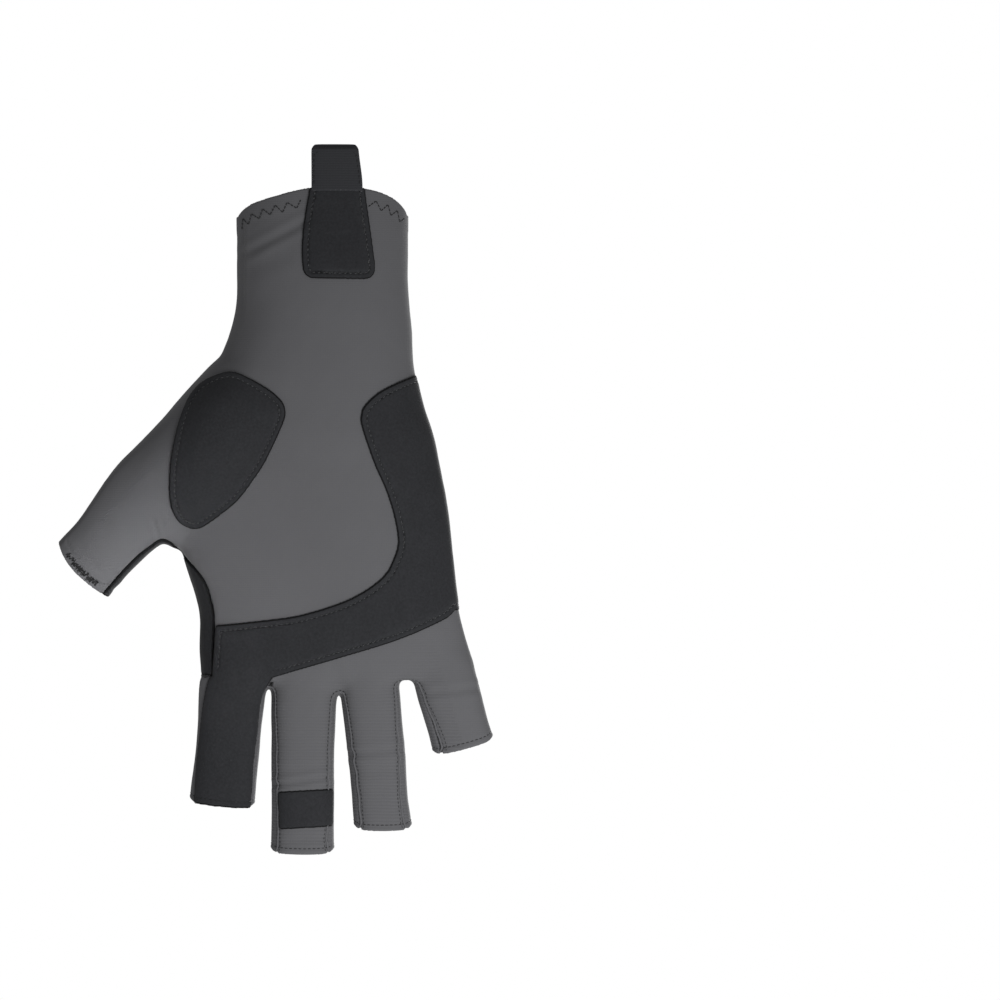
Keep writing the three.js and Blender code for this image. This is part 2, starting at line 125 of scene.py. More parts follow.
splay = math.radians(thumb["splay"])
thumbDown = np.array([-math.sin(splay), -math.cos(splay)])
thumbSide = np.array([math.cos(splay), -math.sin(splay)])
thumbRoot = palmPoint(*thumbBase)
rootsZ = palmPoint(0, 1)[1]


def thumbPoint(along, side):
    return thumbRoot + thumbDown * along * thumb["length"] + thumbSide * side * thumb["width"]


def fingerAxes(finger):
    lean = math.radians(finger["lean"])
    return np.array([math.sin(lean), -math.cos(lean)]), np.array([math.cos(lean), math.sin(lean)])


def fingerPoint(finger, below, across=0.0):
    down, side = fingerAxes(finger)
    return palmPoint(finger["rootAcross"], 1) + down * below + side * across


# A smooth curve through the values at the knots
def smoothed(knots, values, wanted):
    slopes = np.gradient(values, knots)
    at = np.clip(np.searchsorted(knots, wanted, "right") - 1, 0, len(knots) - 2)
    step = knots[at + 1] - knots[at]
    t = np.clip((wanted - knots[at]) / step, 0, 1)
    first, last = values[at], values[at + 1]
    return (
        (2 * t**3 - 3 * t**2 + 1) * first
        + (t**3 - 2 * t**2 + t) * step * slopes[at]
        + (3 * t**2 - 2 * t**3) * last
        + (t**3 - t**2) * step * slopes[at + 1]
    )


# A closed tube through rings, each a rounded oblong across its middle line
def tube(middles, across, reach, sides):
    turn = np.arange(sides) * 2 * math.pi / sides
    cos, sin = np.cos(turn), np.sin(turn)
    power = 2 / reach["square"][:, None]
    wide = np.where(cos > 0, reach["right"][:, None], reach["left"][:, None])
    deep = np.where(sin > 0, reach["back"][:, None], reach["palm"][:, None])
    sideways = wide * np.sign(cos) * np.abs(cos) ** power
    deepwards = deep * np.sign(sin) * np.abs(sin) ** power
    points = middles[:, None, :] + sideways[..., None] * across + deepwards[..., None] * np.array([0, 1, 0])
    rings = len(middles)
    faces = []
    for i in range(sides):
        k = (i + 1) % sides
        for r in range(rings - 1):
            a, b = r * sides, (r + 1) * sides
            faces.append((a + i, b + i, b + k, a + k))
    faces.append(tuple(range(sides)))
    faces.append(tuple(reversed(range((rings - 1) * sides, rings * sides))))
    return points.reshape(-1, 3), faces


# The same reach to both sides, and to the palm and the back
def evenReach(wide, deep, square):
    squares = np.full(len(wide), float(square))
    return {"left": wide, "right": wide, "palm": deep, "back": deep, "square": squares}


# Flat points in X and Z, put at a depth
def atDepth(flat, y):
    return np.stack([flat[:, 0], y + 0 * flat[:, 0], flat[:, 1]], 1)


def handTube():
    low = -cuff["length"] - palmRows["along"][-1] * hand["length"]
    z = np.arange(cuff["palmRise"] + cuff["overrun"], low - 0.01, -2)
    knots, columns = [], {name: [] for name in ("left", "right", "palm", "back", "square")}
    for rows, top, length, breadth, depth in (
        (cuffRows, 0, cuff["length"], cuff["width"], cuff["depth"]),
        (palmRows, -cuff["length"], hand["length"], hand["breadth"], hand["depth"]),
    ):
        knots += list(-(top - rows["along"] * length))
        scales = {"left": breadth, "right": breadth, "palm": depth, "back": depth, "square": 1}
        for name, scale in scales.items():
            columns[name] += list(rows[name] * scale)
    below = np.maximum(-z, 0)
    reach = {name: smoothed(np.array(knots), np.array(values), below) for name, values in columns.items()}
    return tube(np.stack([0 * z, 0 * z, z], 1), np.array([1.0, 0, 0]), reach, tubeSides["hand"])


def fingerTube(finger):
    length = finger["length"]
    knots = np.concatenate([-fingerRootRows["above"] * hand["knuckleRun"], fingerRows["along"] * length])
    below = np.linspace(knots[0], length + endOverrun, tubeRings["finger"])
    within = np.minimum(below, length)
    wide, deep = (
        smoothed(knots, np.concatenate([fingerRootRows[way], fingerRows[way]]), within) * size / 2
        for way, size in (("wide", finger["width"]), ("deep", finger["depth"]))
    )
    down, side = fingerAxes(finger)
    flat = palmPoint(finger["rootAcross"], 1) + below[:, None] * down
    across = np.array([side[0], 0, side[1]])
    return tube(atDepth(flat, 0), across, evenReach(wide, deep, fingerSquare), tubeSides["finger"])


def webTube(web):
    pair = [fingers[web["from"]], fingers[web["to"]]]
    left, right = (fingerPoint(finger, web["drop"])[0] for finger in pair)
    depth = min(finger["depth"] for finger in pair) / 2
    above = np.linspace(webRows["above"][0], 0, tubeRings["web"])
    deep = smoothed(webRows["above"][::-1], webRows["deep"][::-1], above) * depth
    half = np.full(len(above), (right - left) / 2)
    z = rootsZ - web["drop"] + above * hand["knuckleRun"]
    flat = np.stack([np.full(len(above), (left + right) / 2), z], 1)
    return tube(atDepth(flat, 0), np.array([1.0, 0, 0]), evenReach(half, deep, webSquare), tubeSides["web"])


def thumbTube():
    along = np.linspace(0, 1 + endOverrun / thumb["length"], tubeRings["thumb"])
    within = np.minimum(along, 1)
    reach = {"square": np.full(len(along), thumb["square"])}
    for way, column, size in (
        ("left", "outer", "width"), ("right", "inner", "width"),
        ("palm", "palm", "depth"), ("back", "back", "depth"),
    ):
        reach[way] = smoothed(thumbRows["along"], thumbRows[column], within) * thumb[size]
    flat = thumbRoot + along[:, None] * thumb["length"] * thumbDown
    across = np.array([thumbSide[0], 0, thumbSide[1]])
    return tube(atDepth(flat, -thumb["forward"] * within), across, reach, tubeSides["thumb"])


# Fills the corner between the thumb and the palm
def thumbWebTube():
    top, foot = np.array(thumbWeb["top"]), np.array(thumbWeb["foot"])
    t = np.linspace(0, 1, tubeRings["thumbWeb"])
    down = (foot - top) / np.linalg.norm(foot - top)
    half = np.full(len(t), float(thumbWeb["half"]))
    deep = thumbWeb["deepTop"] + (thumbWeb["deepFoot"] - thumbWeb["deepTop"]) * t
    middles = atDepth(top + t[:, None] * (foot - top), -thumb["forward"] / 2)
    across = np.array([-down[1], 0, down[0]])
    return tube(middles, across, evenReach(half, deep, thumbWeb["square"]), tubeSides["thumbWeb"])


def newObject(name, data):
    made = bpy.data.objects.new(name, data)
    bpy.context.scene.collection.objects.link(made)
    return made


# All the tubes in one closed skin of even small faces
def fusedSkin(voxel):
    points, faces, first = [], [], 0
    tubes = [handTube(), thumbTube(), thumbWebTube()]
    tubes += [fingerTube(f) for f in fingers.values()] + [webTube(w) for w in webs.values()]
    for corners, loops in tubes:
        points.append(corners)
        faces += [tuple(first + i for i in loop) for loop in loops]
        first += len(corners)
    data = bpy.data.meshes.new("skin_draft")
    data.from_pydata((np.concatenate(points) * mm).tolist(), [], faces)
    draft = newObject("skin_draft", data)
    remesh = draft.modifiers.new("fuse", "REMESH")
    remesh.mode = "VOXEL"
    remesh.voxel_size = voxel * mm
    made = draft.evaluated_get(bpy.context.evaluated_depsgraph_get()).to_mesh()
    corners = np.zeros(len(made.vertices) * 3, np.float32)
    made.vertices.foreach_get("co", corners)
    made.calc_loop_triangles()
    triangles = np.zeros(len(made.loop_triangles) * 3, np.int32)
    made.loop_triangles.foreach_get("vertices", triangles)
    bpy.data.objects.remove(draft)
    bpy.data.meshes.remove(data)
    return corners.reshape(-1, 3).astype(float) / mm, triangles.reshape(-1, 3).astype(np.int64)


def unit(vectors):
    return vectors / np.maximum(np.linalg.norm(vectors, axis=1, keepdims=True), 1e-12)


def sidesOf(faces):
    return np.concatenate([faces[:, [0, 1]], faces[:, [1, 2]], faces[:, [2, 0]]])


def edgesOf(faces):
    return np.unique(np.sort(sidesOf(faces), axis=1), axis=0)


def neighbourMean(values, edges, count):
    a, b = edges.T
    degree = np.maximum(np.bincount(a, minlength=count) + np.bincount(b, minlength=count), 1)
    total = [np.bincount(a, v[b], count) + np.bincount(b, v[a], count) for v in values.T]
    return np.stack(total, 1) / degree[:, None]


def relaxed(values, edges, weight, times):
    for _ in range(times):
        values = values + weight[:, None] * (neighbourMean(values, edges, len(values)) - values)
    return values


def normalsOf(points, faces):
    a, b, c = (points[faces[:, i]] for i in range(3))
    cross = np.cross(b - a, c - a)
    total = np.zeros_like(points)
    for i in range(3):
        for k in range(3):
            total[:, k] += np.bincount(faces[:, i], cross[:, k], len(points))
    return unit(total)


def ramp(x, low, high):
    t = np.clip((x - low) / (high - low), 0, 1)
    return t * t * (3 - 2 * t)


# A bell that is one high at zero
def bell(x, width):
    return np.exp(-((x / width) ** 2))


# Only the used points of a mesh, renumbered
def compact(points, normals, faces):
    used, back = np.unique(faces, return_inverse=True)
    return points[used], normals[used], back.reshape(-1, 3)


# Only the faces that have three different corners
def proper(faces):
    a, b, c = faces.T
    return faces[(a != b) & (b != c) & (c != a)]


# The faces that have marked and unmarked points, and where the field is zero on their crossed edges
def crossings(mesh, field, marked):
    points, normals, faces = mesh
    count = marked[faces].sum(1)
    mixed = faces[(count == 1) | (count == 2)]
    marks = marked[mixed]
    single = marks.sum(1) == 1
    odd = np.where(single, marks.argmax(1), marks.argmin(1))
    a, b, c = mixed[np.arange(len(mixed))[:, None], (odd[:, None] + np.arange(3)) % 3].T
    pairs = np.sort(np.concatenate([np.stack([a, b], 1), np.stack([a, c], 1)]), axis=1)
    unique, back = np.unique(pairs, axis=0, return_inverse=True)
    low, high = unique.T
    t = (field[low] / np.where(field[low] == field[high], 1, field[low] - field[high]))[:, None]
    at = points[low] * (1 - t) + points[high] * t
    way = normals[low] * (1 - t) + normals[high] * t
    return (single, a, b, c), (low, high, back.reshape(-1)), (at, way)


# The part of a mesh where the field is below zero, cut cleanly along its zero line
def clip(mesh, field, snap=0.12):
    points, normals, faces = mesh
    field = np.where(np.abs(field) < snap, 0.0, field)
    inside = field <= 0
    count = inside[faces].sum(1)
    whole = faces[count == 3]
    if not ((count == 1) | (count == 2)).any():
        return compact(points, normals, whole)
    (single, a, b, c), (low, high, back), (at, way) = crossings(mesh, field, inside)
    index = len(points) + np.arange(len(low))
    index = np.where(field[low] == 0, low, np.where(field[high] == 0, high, index))[back]
    ab, ac = index[: len(a)], index[len(a):]
    made = np.concatenate([
        whole,
        np.stack([a, ab, ac], 1)[single],
        np.stack([ab, b, c], 1)[~single],
        np.stack([ab, c, ac], 1)[~single],
    ])
    return compact(np.concatenate([points, at]), np.concatenate([normals, unit(way)]), proper(made))


# How a face is cut up by the number of its split edges: 0 to 2 are its corners, 3 to 5 its edges' middles
faceCuts = {
    1: [[0, 3, 2], [3, 1, 2]],
    2: [[3, 1, 4], [0, 3, 4], [0, 4, 2]],
    3: [[0, 3, 5], [3, 1, 4], [5, 4, 2], [3, 4, 5]],
}


# Splits the edges whose two ends are marked, so that fine forms have faces to sit on
def refined(mesh, near):
    points, normals, faces = mesh
    unique, back = np.unique(np.sort(sidesOf(faces), axis=1), axis=0, return_inverse=True)
    back = back.reshape(3, -1).T
    split = near[unique[:, 0]] & near[unique[:, 1]]
    middle = np.where(split, len(points) + np.cumsum(split) - 1, -1)
    a, b = unique[split].T
    points = np.concatenate([points, (points[a] + points[b]) / 2])
    normals = np.concatenate([normals, unit(normals[a] + normals[b])])
    marks, cuts = split[back], middle[back]
    total = marks.sum(1)
    made = [faces[total == 0]]
    for amount in (3, 1, 2):
        here = total == amount
        turn = (marks[here].argmin(1) + 1) % 3 if amount == 2 else marks[here].argmax(1)
        order = (turn[:, None] + np.arange(3)) % 3
        rows = np.arange(len(order))[:, None]
        six = np.concatenate([faces[here][rows, order], cuts[here][rows, order]], axis=1)
        made += [six[:, corners] for corners in faceCuts[amount]]
    return points, normals, np.concatenate(made)


def joined(first, second):
    points = np.concatenate([first[0], second[0]])
    normals = np.concatenate([first[1], second[1]])
    faces = np.concatenate([first[2], second[2] + len(first[0])])
    _, keep, back = np.unique(np.round(points, 3), axis=0, return_index=True, return_inverse=True)
    return compact(points[keep], normals[keep], proper(back.reshape(-1)[faces]))


# Distance from flat points to a line of points
def lineDistance(flat, line):
    best = np.full(len(flat), 1e9)
    for a, b in zip(line[:-1], line[1:]):
        step = b - a
        t = np.clip(((flat - a) @ step) / max(step @ step, 1e-12), 0, 1)
        best = np.minimum(best, ((flat - a - t[:, None] * step) ** 2).sum(1))
    return np.sqrt(best)


# Signed distance to a closed outline, below zero inside it
def outlineDistance(flat, outline, margin=8.0):
    low, high = outline.min(0) - margin, outline.max(0) + margin
    near = ((flat > low) & (flat < high)).all(1)
    result = np.full(len(flat), margin)
    spot = flat[near]
    away = lineDistance(spot, np.concatenate([outline, outline[:1]]))
    inside = np.zeros(len(spot), bool)
    for a, b in zip(outline, np.roll(outline, -1, 0)):
        if a[1] != b[1]:
            crosses = (a[1] > spot[:, 1]) != (b[1] > spot[:, 1])
            inside ^= crosses & (spot[:, 0] < a[0] + (spot[:, 1] - a[1]) * (b[0] - a[0]) / (b[1] - a[1]))
    result[near] = np.where(inside, -away, away)
    return result


# A smooth run through points, with a new point at about every step
def splineRun(points, closed=False, step=1.2):
    points = np.asarray(points, float)
    n = len(points)
    made = []
    for i in range(n if closed else n - 1):
        a, b, c, d = points[[(i + k) % n if closed else min(max(i + k, 0), n - 1) for k in (-1, 0, 1, 2)]]
        bent, turned = 2 * a - 5 * b + 4 * c - d, 3 * b - a - 3 * c + d
        for t in np.linspace(0, 1, max(int(np.linalg.norm(c - b) / step), 2), endpoint=False):
            made.append(0.5 * (2 * b + (c - a) * t + bent * t**2 + turned * t**3))
    if not closed:
        made.append(points[-1])
    return np.array(made)


# A closed outline through corners, each given with its rounding
def roundedOutline(corners):
    made = []
    for i, (x, z, radius) in enumerate(corners):
        here = np.array([x, z], float)
        before = np.array(corners[i - 1][:2], float) - here
        after = np.array(corners[(i + 1) % len(corners)][:2], float) - here
        first = here + before / np.linalg.norm(before) * radius
        last = here + after / np.linalg.norm(after) * radius
        for t in np.linspace(0, 1, 6):
            made.append((1 - t) ** 2 * first + 2 * t * (1 - t) * here + t**2 * last)
    return np.array(made)


print("skin")
skinSizes = {"voxel": 1.03, "smoothing": 8, "weights": (0.5, -0.5, 0.35)}
rootBlend = {"times": 90, "weight": 0.6, "height": (-182, -166), "facing": (0.45, 0.8)}
points, faces = fusedSkin(skinSizes["voxel"])
edges = edgesOf(faces)
for weight in skinSizes["weights"] * skinSizes["smoothing"]:
    points = relaxed(points, edges, np.full(len(points), weight), 1)
normals = normalsOf(points, faces)
facing = ramp(np.abs(normals[:, 1]), *rootBlend["facing"]) * ramp(points[:, 2], *rootBlend["height"])
depth = relaxed(points[:, 1:2], edges, rootBlend["weight"] * facing, rootBlend["times"])
points = np.stack([points[:, 0], depth[:, 0], points[:, 2]], 1)
normals = normalsOf(points, faces)
skin = (points, normals, faces)

# Outlines of patches and edges on the palm side and the back, in X and Z
stripHalf = 6.4
palmPatchInner = splineRun(palmPoints([
    (0.45, 0.112), (0.37, 0.126), (0.233, 0.171), (0.165, 0.213), (0.148, 0.245), (0.154, 0.28),
    (0.2, 0.378), (0.24, 0.445), (0.27, 0.512), (0.288, 0.58), (0.286, 0.615), (0.27, 0.648),
    (0.247, 0.681), (0.2, 0.715), (0.124, 0.75), (0.053, 0.772), (-0.038, 0.793), (-0.13, 0.808),
    (-0.313, 0.824), (-0.404, 0.83),
]))
palmPatchOuter = splineRun(palmPoints([
    (-0.187, 0.974), (0.038, 0.926), (0.282, 0.871), (0.458, 0.815), (0.504, 0.787),
]))
thumbPatchOutline = splineRun([
    (-33.0, -59.2), (-25.9, -62.0), (-18.7, -66.2), (-14.5, -70.2), (-13.5, -73.6), (-14.4, -78),
    (-20.7, -91.4), (-25.9, -99.4), (-31.8, -106.8), (-41.8, -114.7), (-47, -116.7), (-52.2, -114.6),
    (-54.9, -110.6), (-56, -106), (-56.1, -98.8), (-55.5, -91.4), (-54.1, -84), (-52.2, -76.6),
    (-49.4, -69.4), (-45.4, -64), (-39.6, -60.6),
], closed=True)
gussetPalmEdge = palmPoints([
    (-0.612, 0.59), (-0.572, 0.602), (-0.541, 0.628), (-0.482, 0.674), (-0.445, 0.712), (-0.424, 0.76),
    (-0.413, 0.815), (-0.417, 0.971),
])
gussetBackEdge = palmPoints([
    (-0.6, 0.508), (-0.555, 0.545), (-0.5, 0.612), (-0.462, 0.69), (-0.448, 0.77), (-0.448, 0.971),
])
gussetThumbPalm = [thumbPoint(*p) for p in ((1.1, 0.44), (0.85, 0.42), (0.76, 0.46))]
gussetThumbBack = [thumbPoint(*p) for p in ((1.1, -0.07), (0.9, -0.05), (0.77, 0), (0.67, 0.12))]
gussetPalmRun = splineRun(gussetThumbPalm + list(gussetPalmEdge))
gussetBackRun = splineRun(gussetThumbBack + list(gussetBackEdge))
gussetFoot = [[-62.0, gussetPalmRun[-1][1]]]
gussetPalm, gussetBack = (
    np.concatenate([run, [[run[0][0], run[-1][1]]]]) for run in (gussetPalmRun, gussetBackRun)
)
farOut = 120
index = fingers["index"]
indexPanelLeft = splineRun([
    (-41.6, -172.2), (-42.8, -176.5), (-44.1, -183.9), (-45.3, -195), (-46.4, -204.2), (-47.1, -216),
    (-47.4, -226),
])
indexPanelRight = splineRun([
    (-26.8, -226), (-26.4, -216), (-25.5, -202.4), (-24, -190), (-22.9, -180.2), (-21.3, -176.2),
    (-19.6, -173.4),
])
palmPatchOutline = np.concatenate([
    [[farOut, palmPatchInner[0][1]]],
    palmPatchInner,
    [gussetPalmRun[-1]],
    indexPanelLeft,
    indexPanelRight,
    palmPatchOuter,
    [[farOut, palmPatchOuter[-1][1]]],
])
bandOutline = np.array([(-16.4, -214.0), (6.5, -212.8), (6.5, -226.6), (-15.9, -227.9)])
tab = {"middle": 5.6, "hem": 1.3, "left": -3.4, "right": 14.8}
tabOutline = roundedOutline([
    (-4.2, 30, 0.1), (15.6, 30, 0.1), (15.5, 9, 6), (17.4, -4, 6), (19.5, -20, 2), (19.3, -24.7, 4.2),
    (-6.5, -24.4, 4), (-7.5, -15, 6), (-6.4, -2, 7), (-4.2, 9, 4),
])


def flatOf(points):
    return points[:, [0, 2]]


def rimField(points, back):
    across = np.clip(points[:, 0] / (cuff["width"] / 2), -1, 1)
    rise = smoothed(rimRows["across"], rimRows["rise"], across)
    return points[:, 2] - rise * np.where(back & (rise > 0), cuff["backRise"], cuff["palmRise"])


# How far points are down a finger and across it
def inFinger(points, finger):
    down, side = fingerAxes(finger)
    away = flatOf(points) - palmPoint(finger["rootAcross"], 1)
    return away @ down, away @ side


farInside = -50  # stands for well away from the end in question
fingerCrown = {"bow": 0.6, "corners": 1.2, "start": 0.2, "from": 5, "reach": 0.75}
thumbCrown = {"outer": 3.3, "inner": 1.4, "power": 2.2, "start": 0.8, "from": 60, "reach": 30}


# How far a point is past a finger's open end
def fingerEnd(points, finger):
    along, across = inFinger(points, finger)
    side = np.minimum(np.abs(across) / (finger["width"] / 2), 1.05)
    crown = fingerCrown["bow"] * side**2 + fingerCrown["corners"] * side**10 - fingerCrown["start"]
    end = along - finger["endSlope"] * across + crown - finger["length"]
    here = (along > fingerCrown["from"]) & (np.abs(across) < fingerCrown["reach"] * finger["width"])
    return np.where(here, end, farInside)


# The thumb's open end is slightly rounded outwards
def thumbEnd(points):
    away = flatOf(points) - thumbRoot
    along, across = away @ thumbDown, away @ thumbSide
    crown = np.where(across < 0, thumbCrown["outer"], thumbCrown["inner"])
    crown = crown * np.abs(across / thumb["width"] * 2) ** thumbCrown["power"]
    here = (along > thumbCrown["from"]) & (np.abs(across) < thumbCrown["reach"])
    return np.where(here, along + crown - thumb["length"] - thumbCrown["start"], farInside)


# True between the middle lines of the two fingers beside a web
def betweenFingers(points, web):
    left, right = (inFinger(points, fingers[web[end]])[1] for end in ("from", "to"))
    return (left > 0) & (right < 0) & (points[:, 2] < rootsZ + hand["knuckleRun"])


def stripField(points, web):
    return np.where(betweenFingers(points, web), np.abs(points[:, 1]) - stripHalf, 10)


# Creases and folds in the cloth: ends of each in X and Z, its half width, its depth and its side
creases = table("x1 z1 x2 z2 width depth back", [
    (-27.5, -15, -6, -3.6, 1.5, 0.5, 0),
    (-27, -21.5, -12, -15, 3, 0.2, 0),
    (-28.9, -3, -29.6, -34, 0.8, 0.42, 0),
    (-62.2, -113.4, -60.6, -119.4, 0.7, 0.5, 0),
    (-59.6, -111.8, -58.8, -115.4, 0.7, 0.4, 0),
    (-57.6, -110.4, -57.2, -113.4, 0.6, 0.3, 0),
    (-17, -211.6, 1.5, -208.8, 1.0, 0.55, 0),
    (-15, -206.5, 1, -205, 1.6, 0.2, 0),
    (-14, -232.4, 2.5, -231.4, 1.2, 0.22, 0),
    (10, -200.4, 28.5, -198.4, 1.3, 0.34, 0),
    (12, -207, 27, -206, 1.8, 0.16, 0),
    (39, -177.8, 58.5, -175.6, 1.4, 0.36, 0),
    (-90, -124, -77, -139, 1.7, 0.3, 0),
    (-52, -128, -44, -150, 2.4, 0.25, 0),
    (34, -166, 46, -176, 2.2, 0.2, 0),
    (4, -166, 8, -178, 2, 0.2, 0),
    (-22, -166, -20, -176, 2, 0.2, 0),
    (34, -164, 44, -178, 2, 0.3, 1),
    (5, -164, 8, -178, 1.8, 0.25, 1),
    (-24, -164, -20, -176, 1.8, 0.25, 1),
    (-56, -113, -46, -122, 2.4, 0.35, 1),
    (-52, -118, -42, -134, 3, 0.3, 1),
])


ridge = {"share": 0.45, "away": 1.9}  # the cloth bulges a little beside each crease
noiseParts = ((42, 0.22), (16, 0.08), (6, 0.025))  # each wave's length and its height
noiseSwings = 9


def smoothNoise(points, wave, offset):
    rng = np.random.default_rng(seed + offset)
    total = np.zeros(len(points))
    for _ in range(noiseSwings):
        way = rng.normal(size=3)
        way /= np.linalg.norm(way)
        total += np.sin(points @ way * 2 * math.pi / (wave * rng.uniform(0.7, 1.4)) + rng.uniform(0, 6.3))
    return total / 4


def drape(points):
    back = points[:, 1] > 0
    flat = flatOf(points)
    lift = np.zeros(len(points))
    for x1, z1, x2, z2, width, deep, onBack in zip(*creases.values()):
        a, step = np.array([x1, z1]), np.array([x2 - x1, z2 - z1])
        t = ((flat - a) @ step) / (step @ step)
        away = np.abs((flat - a) @ np.array([-step[1], step[0]]) / np.linalg.norm(step))
        fade = ramp(t, -0.25, 0.15) * ramp(-t, -1.25, -0.85) * (back == bool(onBack))
        beside = bell(away / width - ridge["away"], 1)
        lift += fade * deep * (ridge["share"] * beside - bell(away, width))
    return lift + sum(high * smoothNoise(points, wave, k) for k, (wave, high) in enumerate(noiseParts, 1))


noSeam = 30.0


def stripDistance(points):
    strips = np.full(len(points), noSeam)
    for web in webs.values():
        strips = np.where(betweenFingers(points, web), np.abs(np.abs(points[:, 1]) - stripHalf), strips)
    return strips


# Distances to the seams of the gusset, the strips and the two panels
def seamDistance(points):
    flat = flatOf(points)
    palm = lineDistance(flat, np.concatenate([gussetPalmRun, gussetFoot]))
    rear = lineDistance(flat, np.concatenate([gussetBackRun, gussetFoot]))
    gusset = np.where(points[:, 1] > 0, rear, palm)
    strips = stripDistance(points)
    within = (outlineDistance(flat, gussetPalm) < 0) & (outlineDistance(flat, gussetBack) < 0)
    side = np.where(within | (strips < noSeam), noSeam, np.abs(points[:, 1]))
    return gusset, strips, side


hems = {"finger": 2.1, "thumb": 3.7}


# Zero along the sewn line of each hem, above zero between it and the open end
def hemDistance(points):
    ends = [fingerEnd(points, f) + hems["finger"] for f in fingers.values()]
    return np.max(ends + [thumbEnd(points) + hems["thumb"]], axis=0)


print("seams")
cutBack = {"end": 0.5, "rim": 0.6, "patch": 1.5}
fineWithin = {"gusset": 1.8, "strips": 1.7, "side": 1.3, "patch": 1.5, "hem": 1.5, "rim": 1.5}
fullness = 0.3  # the cloth stands this far off the smoothed form
seamGrooves = ((0.42, 1.3), (0.4, 1.2), (0.3, 1.0))  # depth and half width at the gusset, strips and sides
points, normals, faces = skin
gusset, strips, side = seamDistance(points)
palm = points[:, 1] < 0
patchEdges = np.minimum.reduce([
    np.abs(outlineDistance(flatOf(points), outline) + cutBack["patch"])
    for outline in (palmPatchOutline, thumbPatchOutline, bandOutline, tabOutline)
])
near = (gusset < fineWithin["gusset"]) | (strips < fineWithin["strips"]) | (side < fineWithin["side"])
near |= palm & (patchEdges < fineWithin["patch"])
near |= hemDistance(points) > -fineWithin["hem"]
near |= np.abs(rimField(points, ~palm) + cutBack["rim"]) < fineWithin["rim"]
points, normals, faces = refined(skin, near)
hem = hemDistance(points)
rim = rimField(points, points[:, 1] > 0)
seams = sum(deep * bell(away, width) for away, (deep, width) in zip(seamDistance(points), seamGrooves))
lift = fullness + drape(points) - seams * (1 - 0.7 * ramp(hem, -0.5, 1))
# The thumb's hem is thicker, but not at the thumb's two sides
hemForm = {"high": 0.1, "groove": 0.18, "grooveWidth": 0.55, "thumbShare": 2.4, "cuffHigh": 0.14}
thumbShare = hemForm["thumbShare"] * ramp(np.abs(normals[:, 1]), 0.5, 0.9)
hemShare = np.where(thumbEnd(points) > -10, thumbShare, 1.0)
sewnIn = hemForm["groove"] * bell(hem, hemForm["grooveWidth"])
lift += hemShare * (hemForm["high"] * ramp(hem, -0.9, 0.5) - sewnIn)
lift += hemForm["cuffHigh"] * ramp(rim, -7.5, -6)
points = points + normals * lift[:, None]
mesh = (points, normalsOf(points, faces), faces)
print("skin faces", len(faces))


# The open ends and the rim are cut first, and the panels later along their seams
def opened(mesh):
    for finger in fingers.values():
        mesh = clip(mesh, fingerEnd(mesh[0], finger) + cutBack["end"])
    mesh = clip(mesh, thumbEnd(mesh[0]) + cutBack["end"])
    halves = []
    for side, back in ((1, False), (-1, True)):
        half = clip(mesh, side * mesh[0][:, 1])
        halves.append(clip(half, rimField(half[0], back) + cutBack["rim"]))
    return (*halves, joined(*halves))


palmHalf, backHalf, openSkin = opened(mesh)
plainSkin = opened((skin[0] + skin[1] * fullness, skin[1], skin[2]))[2]
skinTree = BVHTree.FromPolygons(openSkin[0].tolist(), openSkin[2].tolist())


# Cloth with a rounded rim on a piece of the skin, whose inner face is lifted off it
def shell(mesh, lift, thick, reach=None, steps=5):
    points, normals, faces = mesh
    count = len(points)
    reach = thick / 2 if reach is None else reach
    sides = sidesOf(faces)
    codes = sides[:, 0] * count + sides[:, 1]
    rim = sides[~np.isin(codes, sides[:, 1] * count + sides[:, 0])]
    a, b = rim.T
    way = np.cross(points[b] - points[a], normals[a] + normals[b])
    out = np.stack([np.bincount(a, w, count) + np.bincount(b, w, count) for w in way.T], 1)
    out = unit(out - (out * normals).sum(1, keepdims=True) * normals)
    ring, back = np.unique(rim, return_inverse=True)
    a, b = back.reshape(-1, 2).T
    layers = [points + normals * (lift + thick), points + normals * lift]
    rings = [ring]
    first = 2 * count
    for k in range(1, steps):
        turn = math.pi * k / steps
        level = lift + thick / 2 + thick / 2 * math.cos(turn)
        layers.append(points[ring] + normals[ring] * level + out[ring] * reach * math.sin(turn))
        rings.append(first + np.arange(len(ring)))
        first += len(ring)
    rings.append(ring + count)
    made = [faces, faces[:, ::-1] + count]
    kinds = [np.zeros(len(faces), int), np.full(len(faces), 2)]
    for upper, lower in zip(rings[:-1], rings[1:]):
        made.append(np.stack([upper[b], upper[a], lower[a]], 1))
        made.append(np.stack([upper[b], lower[a], lower[b]], 1))
        kinds += [np.ones(len(a), int)] * 2
    return np.concatenate(layers), np.concatenate(made), np.concatenate(kinds)


def makeObject(name, points, faces, materials, kinds=None, fields=None):
    data = bpy.data.meshes.new(name)
    data.vertices.add(len(points))
    data.vertices.foreach_set("co", (np.asarray(points) * mm).astype(np.float32).ravel())
    data.loops.add(len(faces) * 3)
    data.loops.foreach_set("vertex_index", np.asarray(faces, np.int32).ravel())
    data.polygons.add(len(faces))
    data.polygons.foreach_set("loop_start", np.arange(0, len(faces) * 3, 3, dtype=np.int32))
    for material in materials:
        data.materials.append(material)
    if kinds is not None:
        data.polygons.foreach_set("material_index", np.asarray(kinds, np.int32))
    data.update()
    data.validate()
    data.polygons.foreach_set("use_smooth", np.ones(len(data.polygons), bool))
    for label, values in (fields or {}).items():
        layer = data.attributes.new(label, "FLOAT", "POINT")
        layer.data.foreach_set("value", np.asarray(values, np.float32))
    piece = newObject(name, data)
    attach(piece, "root")
    return piece


